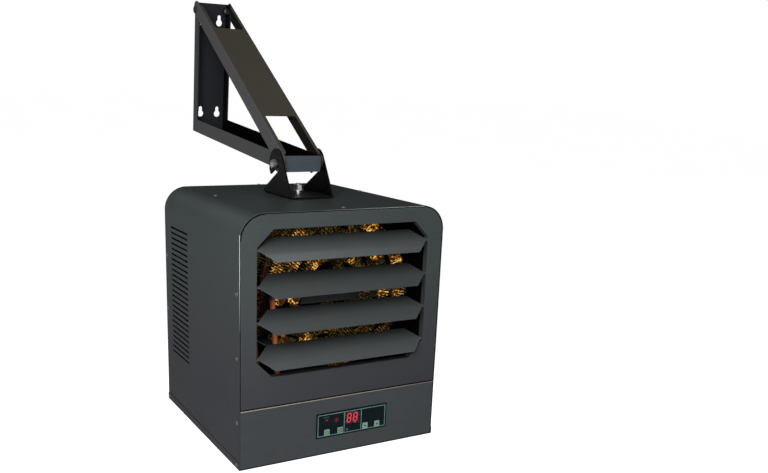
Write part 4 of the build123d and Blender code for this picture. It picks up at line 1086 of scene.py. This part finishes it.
# The access cover's folded lip, painted pale as a highlight, under a dark band painted as
# the shadow in the gap below the front panel
LIP_HALF = 176.0
LIP_HEIGHT = 95.6
SEAM_HEIGHT = 97.2
band(
    "cover_lip",
    painted_highlight("highlight_lip", screen(164, 158, 144), (-150, 0, 95), RIGHT, 1.0, 0.5, 300),
    "cover_paint",
    (-LIP_HALF, LIP_HEIGHT),
    (LIP_HALF, LIP_HEIGHT),
    width=1.4,
    depths=(-0.14, 0.2),
)
band(
    "cover_seam",
    dark,
    "cover_paint",
    (-LIP_HALF, SEAM_HEIGHT),
    (LIP_HALF, SEAM_HEIGHT),
    width=1.6,
    depths=(-0.08, 0.2),
)

# Control overlay in a dark frame band round its edge; each box has its lowest and highest x and z
OVERLAY = (-45.7, 30.3, 82.8, 70.0)
LENS = (6.4, 45.45, 33.2, 66.05)
RECEIVER = (7.6, 34.6, 11.8, 38.6)
FRAME_WIDTH = 1.4
FRAME_LAP = 0.3
FRAME_DEPTHS = (-0.4, 0.0)
LENS_DEPTHS = (-0.9, -0.5)
FILM = -1.0
PRINT = 0.04
PRINT_DEPTHS = (FILM - PRINT, FILM)
BORDER_INSET = 1.9
BORDER = 1.2
DIVIDERS = (4.0, 35.6)


def box_outline(box, grow=0):
    """Closed outline of a box, grown outwards."""
    low_x, low_z, high_x, high_z = box
    corners = (
        (low_x - grow, low_z - grow),
        (high_x + grow, low_z - grow),
        (high_x + grow, high_z + grow),
        (low_x - grow, high_z + grow),
    )
    return (*corners, corners[0])


def pane(name, box, depths, look, slot, replaced=()):
    """Adds a flat rectangle as a piece."""
    mesh = bmesh.new()
    slab(mesh, box_outline(box)[:-1], *depths)
    piece(name, mesh, "cabinet", look, slot, replaced)


frame_band = bmesh.new()
ribbon(frame_band, box_outline(OVERLAY, FRAME_WIDTH), box_outline(OVERLAY, -FRAME_LAP), *FRAME_DEPTHS)
frame_band_look = moulded("overlay_dark_frame", screen(14, 16, 16), 0.6, 0.1)
piece("overlay_frame", frame_band, "cabinet", frame_band_look, "overlay_film")

left = OVERLAY[0] + BORDER_INSET
low = OVERLAY[1] + BORDER_INSET
right = OVERLAY[2] - BORDER_INSET
high = OVERLAY[3] - BORDER_INSET
lines = bmesh.new()
for z in (low, high):
    stroke(lines, (left - BORDER / 2, z), (right + BORDER / 2, z), BORDER, *PRINT_DEPTHS)
for x in (left, right, *DIVIDERS):
    stroke(lines, (x, low), (x, high), BORDER, *PRINT_DEPTHS)
print_look = moulded("overlay_print", screen(96, 138, 126), 0.6, 0.1, 900)
piece("overlay_lines", lines, "cabinet", print_look, "overlay_film")
pane("display_window", LENS, LENS_DEPTHS, looks["lens"], "lens", ("display_lens",))

# Digits of seven lit bars each, pointed at both ends
DIGIT_PLACES = (14.2, 25.7)
DIGIT_MIDDLE = 55.3
DIGIT_WIDTH = 8.3
DIGIT_HEIGHT = 16.0
DIGIT_DEPTHS = (1.15, 1.4)
DIGIT_SLANT = tan(radians(6))
SEGMENT = 1.9
SEGMENT_GAP = 0.5


def segment(mesh, middle, length, upright):
    """Adds one lit bar of a digit."""
    half_long = length / 2
    half_wide = SEGMENT / 2
    outline = []
    for along, across in (
        (-half_long, 0),
        (half_wide - half_long, half_wide),
        (half_long - half_wide, half_wide),
        (half_long, 0),
        (half_long - half_wide, -half_wide),
        (half_wide - half_long, -half_wide),
    ):
        x = middle[0] + (across if upright else along)
        z = middle[1] + (along if upright else across)
        outline.append((x + (z - DIGIT_MIDDLE) * DIGIT_SLANT, z))
    slab(mesh, outline, *DIGIT_DEPTHS)


def lit_digit(mesh, x):
    """Adds all seven bars of a digit: the level ones, and then the upright ones."""
    reach = (DIGIT_WIDTH - SEGMENT) / 2
    rise = (DIGIT_HEIGHT - SEGMENT) / 2
    for level in (-1, 0, 1):
        middle = (x, DIGIT_MIDDLE + level * rise)
        segment(mesh, middle, 2 * reach - SEGMENT_GAP, upright=False)
    for side in (-1, 1):
        for level in (-0.5, 0.5):
            middle = (x + side * reach, DIGIT_MIDDLE + level * rise)
            segment(mesh, middle, rise - SEGMENT_GAP, upright=True)


digits = bmesh.new()
for x in DIGIT_PLACES:
    lit_digit(digits, x)
digit_look = glowing("digit_light", screen(250, 52, 74), 0.95)
piece("lit_digits", digits, "cabinet", digit_look, "display_body")
receiver_look = moulded("receiver_film", screen(70, 82, 84), 0.4, 0.2)
pane("receiver_window", RECEIVER, PRINT_DEPTHS, receiver_look, "overlay_film")

# Status lamps: a lit red triangle with a printed line over it, and a dim amber disc
RED_LAMP = ((-32.4, 58.2), (-26.0, 56.6), (-26.0, 61.4))
RED_LAMP_DEPTHS = (-1.24, -1.1)
AMBER_LAMP = (-10.5, FILM, 56.4)
AMBER_ROWS = ((0, 4.2), (0.05, 4.0))
AMBER_SIDES = 32
LAMP_LINE = ((-34.5, 63.9), (-24.0, 63.9))
LAMP_LINE_WIDTH = 1.1
triangle = bmesh.new()
slab(triangle, RED_LAMP, *RED_LAMP_DEPTHS)
piece("red_lamp", triangle, "cabinet", looks["status_lamp"], "status_lamp")
lamp_print = moulded("mark_print", screen(38, 98, 90), 0.6, 0.1)
band("lamp_mark", lamp_print, "overlay_film", *LAMP_LINE, LAMP_LINE_WIDTH, PRINT_DEPTHS)
disc = bmesh.new()
turned(disc, facing(AMBER_LAMP, -BACK), AMBER_ROWS, AMBER_SIDES)
amber = glowing("amber_glow", screen(66, 34, 14), 0.7)
piece("amber_lamp", disc, "cabinet", amber, "status_lamp")

# Marks printed on the keys
KEY_FRONT = -1.4
KEY_DEPTHS = (KEY_FRONT - PRINT, KEY_FRONT)
KEY_HEIGHT = 37.3
POWER_RADIUS = 2.6
POWER_ARC = (125, 415)
POWER_STEPS = 12
POWER_BAR = (0.6, 3.6)
POWER_LINE = 0.7
AIR_ROWS = (-2.6, 0, 2.6)
AIR_HALF = 4
AIR_WAVE = 0.7
AIR_PHASE = 1.2
AIR_LINE = 0.9
ARROW_TIP = 2.0
ARROW_FOOT = 1.4
ARROW_HALF = 2.4


def line_through(mesh, places, width):
    """Prints a line through a row of places."""
    for start, end in zip(places, places[1:]):
        stroke(mesh, start, end, width, *KEY_DEPTHS)


def power_mark(mesh, x):
    """Prints an open ring with an upright line through its gap."""
    first, last = POWER_ARC
    ring = []
    for step in range(POWER_STEPS + 1):
        angle = radians(first + (last - first) * step / POWER_STEPS)
        ring.append((x + POWER_RADIUS * cos(angle), KEY_HEIGHT + POWER_RADIUS * sin(angle)))
    line_through(mesh, ring, POWER_LINE)
    line_through(mesh, [(x, KEY_HEIGHT + rise) for rise in POWER_BAR], POWER_LINE)


def airflow_mark(mesh, x):
    """Prints three waves, one over another."""
    for row in AIR_ROWS:
        wave = [
            (x + along, KEY_HEIGHT + row + AIR_WAVE * sin(AIR_PHASE * along))
            for along in range(-AIR_HALF, AIR_HALF + 1)
        ]
        line_through(mesh, wave, AIR_LINE)


def arrow_mark(mesh, x, way):
    """Prints a triangle that points up or down."""
    tip = KEY_HEIGHT + way * ARROW_TIP
    foot = KEY_HEIGHT - way * ARROW_FOOT
    slab(mesh, ((x - ARROW_HALF, foot), (x + ARROW_HALF, foot), (x, tip)), *KEY_DEPTHS)


mark_look = moulded("key_mark", screen(28, 52, 46), 0.6, 0.1)
for key, x, draw, *way in (
    ("power_key", -27.5, power_mark),
    ("fan_key", -3.1, airflow_mark),
    ("down_key", 43.5, arrow_mark, -1),
    ("up_key", 66.2, arrow_mark, 1),
):
    mark = bmesh.new()
    draw(mark, x, *way)
    piece(key + "_mark", mark, key, mark_look, "key_cap")

# Fan: a dished plate over the roots of its blades, from rows of rise and radius
FAN_HEIGHT = 249.0
HUB_FRONT = 155.2
HUB_ROWS = ((-1.6, 43), (-0.4, 43.4), (-0.2, 42.4), (0.3, 30), (1.2, 24), (1.5, 8))
HUB_SIDES = 64
dish = bmesh.new()
turned(dish, facing((0, HUB_FRONT, FAN_HEIGHT), -BACK), HUB_ROWS, HUB_SIDES)
# The dish is near-black as painted shade
piece("hub_plate", dish, "fan", shade_sheet_look, "fan_aluminium")

# Motor: a ribbed jacket over the stator
JACKET_FRONT = 228
JACKET_LENGTH = 37
JACKET_RADIUS = 40.0
JACKET_LIP = 39
JACKET_RIBS = 40
JACKET_SIDES = 240
RIB = 1.3
GROOVE = 0.15


def ribbed(angle):
    """Radius of the jacket, which has a rib every nine degrees."""
    return JACKET_RADIUS + (RIB if sin(JACKET_RIBS * angle) > 0 else GROOVE)


jacket = bmesh.new()
turned(
    jacket,
    facing((0, JACKET_FRONT, FAN_HEIGHT), BACK),
    ((0, JACKET_LIP), (0, ribbed), (JACKET_LENGTH, ribbed), (JACKET_LENGTH, JACKET_LIP)),
    JACKET_SIDES,
)
piece("motor_jacket", jacket, "cabinet", looks["motor_steel"], "motor_steel")

# Studio
AMBIENT = 0.30
GLOSS_IN_FRONT = 0.9
GLOSS_BEHIND = 0.08
FLOOR_HEIGHT = -1.45
FLOOR_HALF = 14
FLOOR_GLOW = 0.75
FLOOR_GLOW_IN_GLOSS = 0.12
HEATER_MIDDLE = Vector((0, -0.45, -0.35))


def seen_directly(tree):
    """Factor that is 1 for rays from the camera or through clear windows."""
    path = add(tree, "ShaderNodeLightPath").outputs
    return combine(tree, "MAXIMUM", path["Is Camera Ray"], path["Is Transmission Ray"])


def in_gloss(tree):
    """Factor that is 1 for rays off a glossy surface."""
    return add(tree, "ShaderNodeLightPath").outputs["Is Glossy Ray"]


def set_world():
    """White backdrop for the eye, one that is darker behind the object for gloss, and a plain
    soft light on the object."""
    world = bpy.data.worlds.new("studio")
    bpy.context.scene.world = world
    world.use_nodes = True
    tree = world.node_tree
    tree.nodes.clear()
    way = add(tree, "ShaderNodeTexCoord").outputs["Generated"]
    depth = add(tree, "ShaderNodeSeparateXYZ", Vector=way).outputs["Y"]
    gloss = span(tree, depth, GLOSS_IN_FRONT, GLOSS_BEHIND, -0.3, 0.3)
    seen = blend(tree, in_gloss(tree), AMBIENT, gloss)
    strength = blend(tree, seen_directly(tree), seen, 1.0)
    light = add(tree, "ShaderNodeBackground", Color=(1, 1, 1, 1), Strength=strength)
    add(tree, "ShaderNodeOutputWorld", Surface=light.outputs["Background"])


def soft_lamp(name, place, size, power):
    """Adds a square soft light that faces the heater."""
    data = bpy.data.lights.new(name, "AREA")
    data.size = size
    data.energy = power
    lamp = bpy.data.objects.new(name, data)
    bpy.context.scene.collection.objects.link(lamp)
    lamp.location = place
    lamp.rotation_euler = (HEATER_MIDDLE - Vector(place)).to_track_quat("-Z", "Y").to_euler()


def pale_floor():
    """Matt pale floor that reads as white but keeps the heater's shadow."""
    made, tree, shade = shader("pale_floor")
    cloud = noise(tree, 1.5, 2)
    glow = combine(
        tree,
        "MAXIMUM",
        product(tree, seen_directly(tree), FLOOR_GLOW),
        product(tree, in_gloss(tree), FLOOR_GLOW_IN_GLOSS),
    )
    plug(
        shade,
        Base_Color=ramp(tree, cloud, (0.3, grey(0.80)), (0.7, grey(0.82))),
        Roughness=0.9,
        Specular_IOR_Level=0.0,
        Emission_Color=(1, 1, 1, 1),
        Emission_Strength=glow,
    )
    return made


set_world()
soft_lamp("key_lamp", (-1.05, -1.75, 0.6), size=1.1, power=33)
soft_lamp("back_lamp", (1.3, 1.9, -0.8), size=0.5, power=18)

grid = bmesh.new()
bmesh.ops.create_grid(grid, x_segments=4, y_segments=4, size=FLOOR_HALF)
floor_data = bpy.data.meshes.new("floor")
grid.to_mesh(floor_data)
grid.free()
floor_data.materials.append(pale_floor())
floor = bpy.data.objects.new("floor", floor_data)
floor.location = (0, 0, FLOOR_HEIGHT)
bpy.context.scene.collection.objects.link(floor)

# Camera
CAMERA_PLACE = (-0.6271, -1.6969, 0.1248)
CAMERA_TURN = (70.277, -4.413, -28.695)
camera_data = bpy.data.cameras.new("camera")
camera_data.sensor_fit = "HORIZONTAL"
camera_data.sensor_width = 36
camera_data.lens = 39.28
camera_data.shift_x = 0.05397
camera_data.shift_y = 0.1025
camera = bpy.data.objects.new("camera", camera_data)
camera.location = CAMERA_PLACE
camera.rotation_euler = Euler([radians(turn) for turn in CAMERA_TURN])
bpy.context.scene.collection.objects.link(camera)
bpy.context.scene.camera = camera
bpy.context.scene.view_settings.view_transform = "Standard"
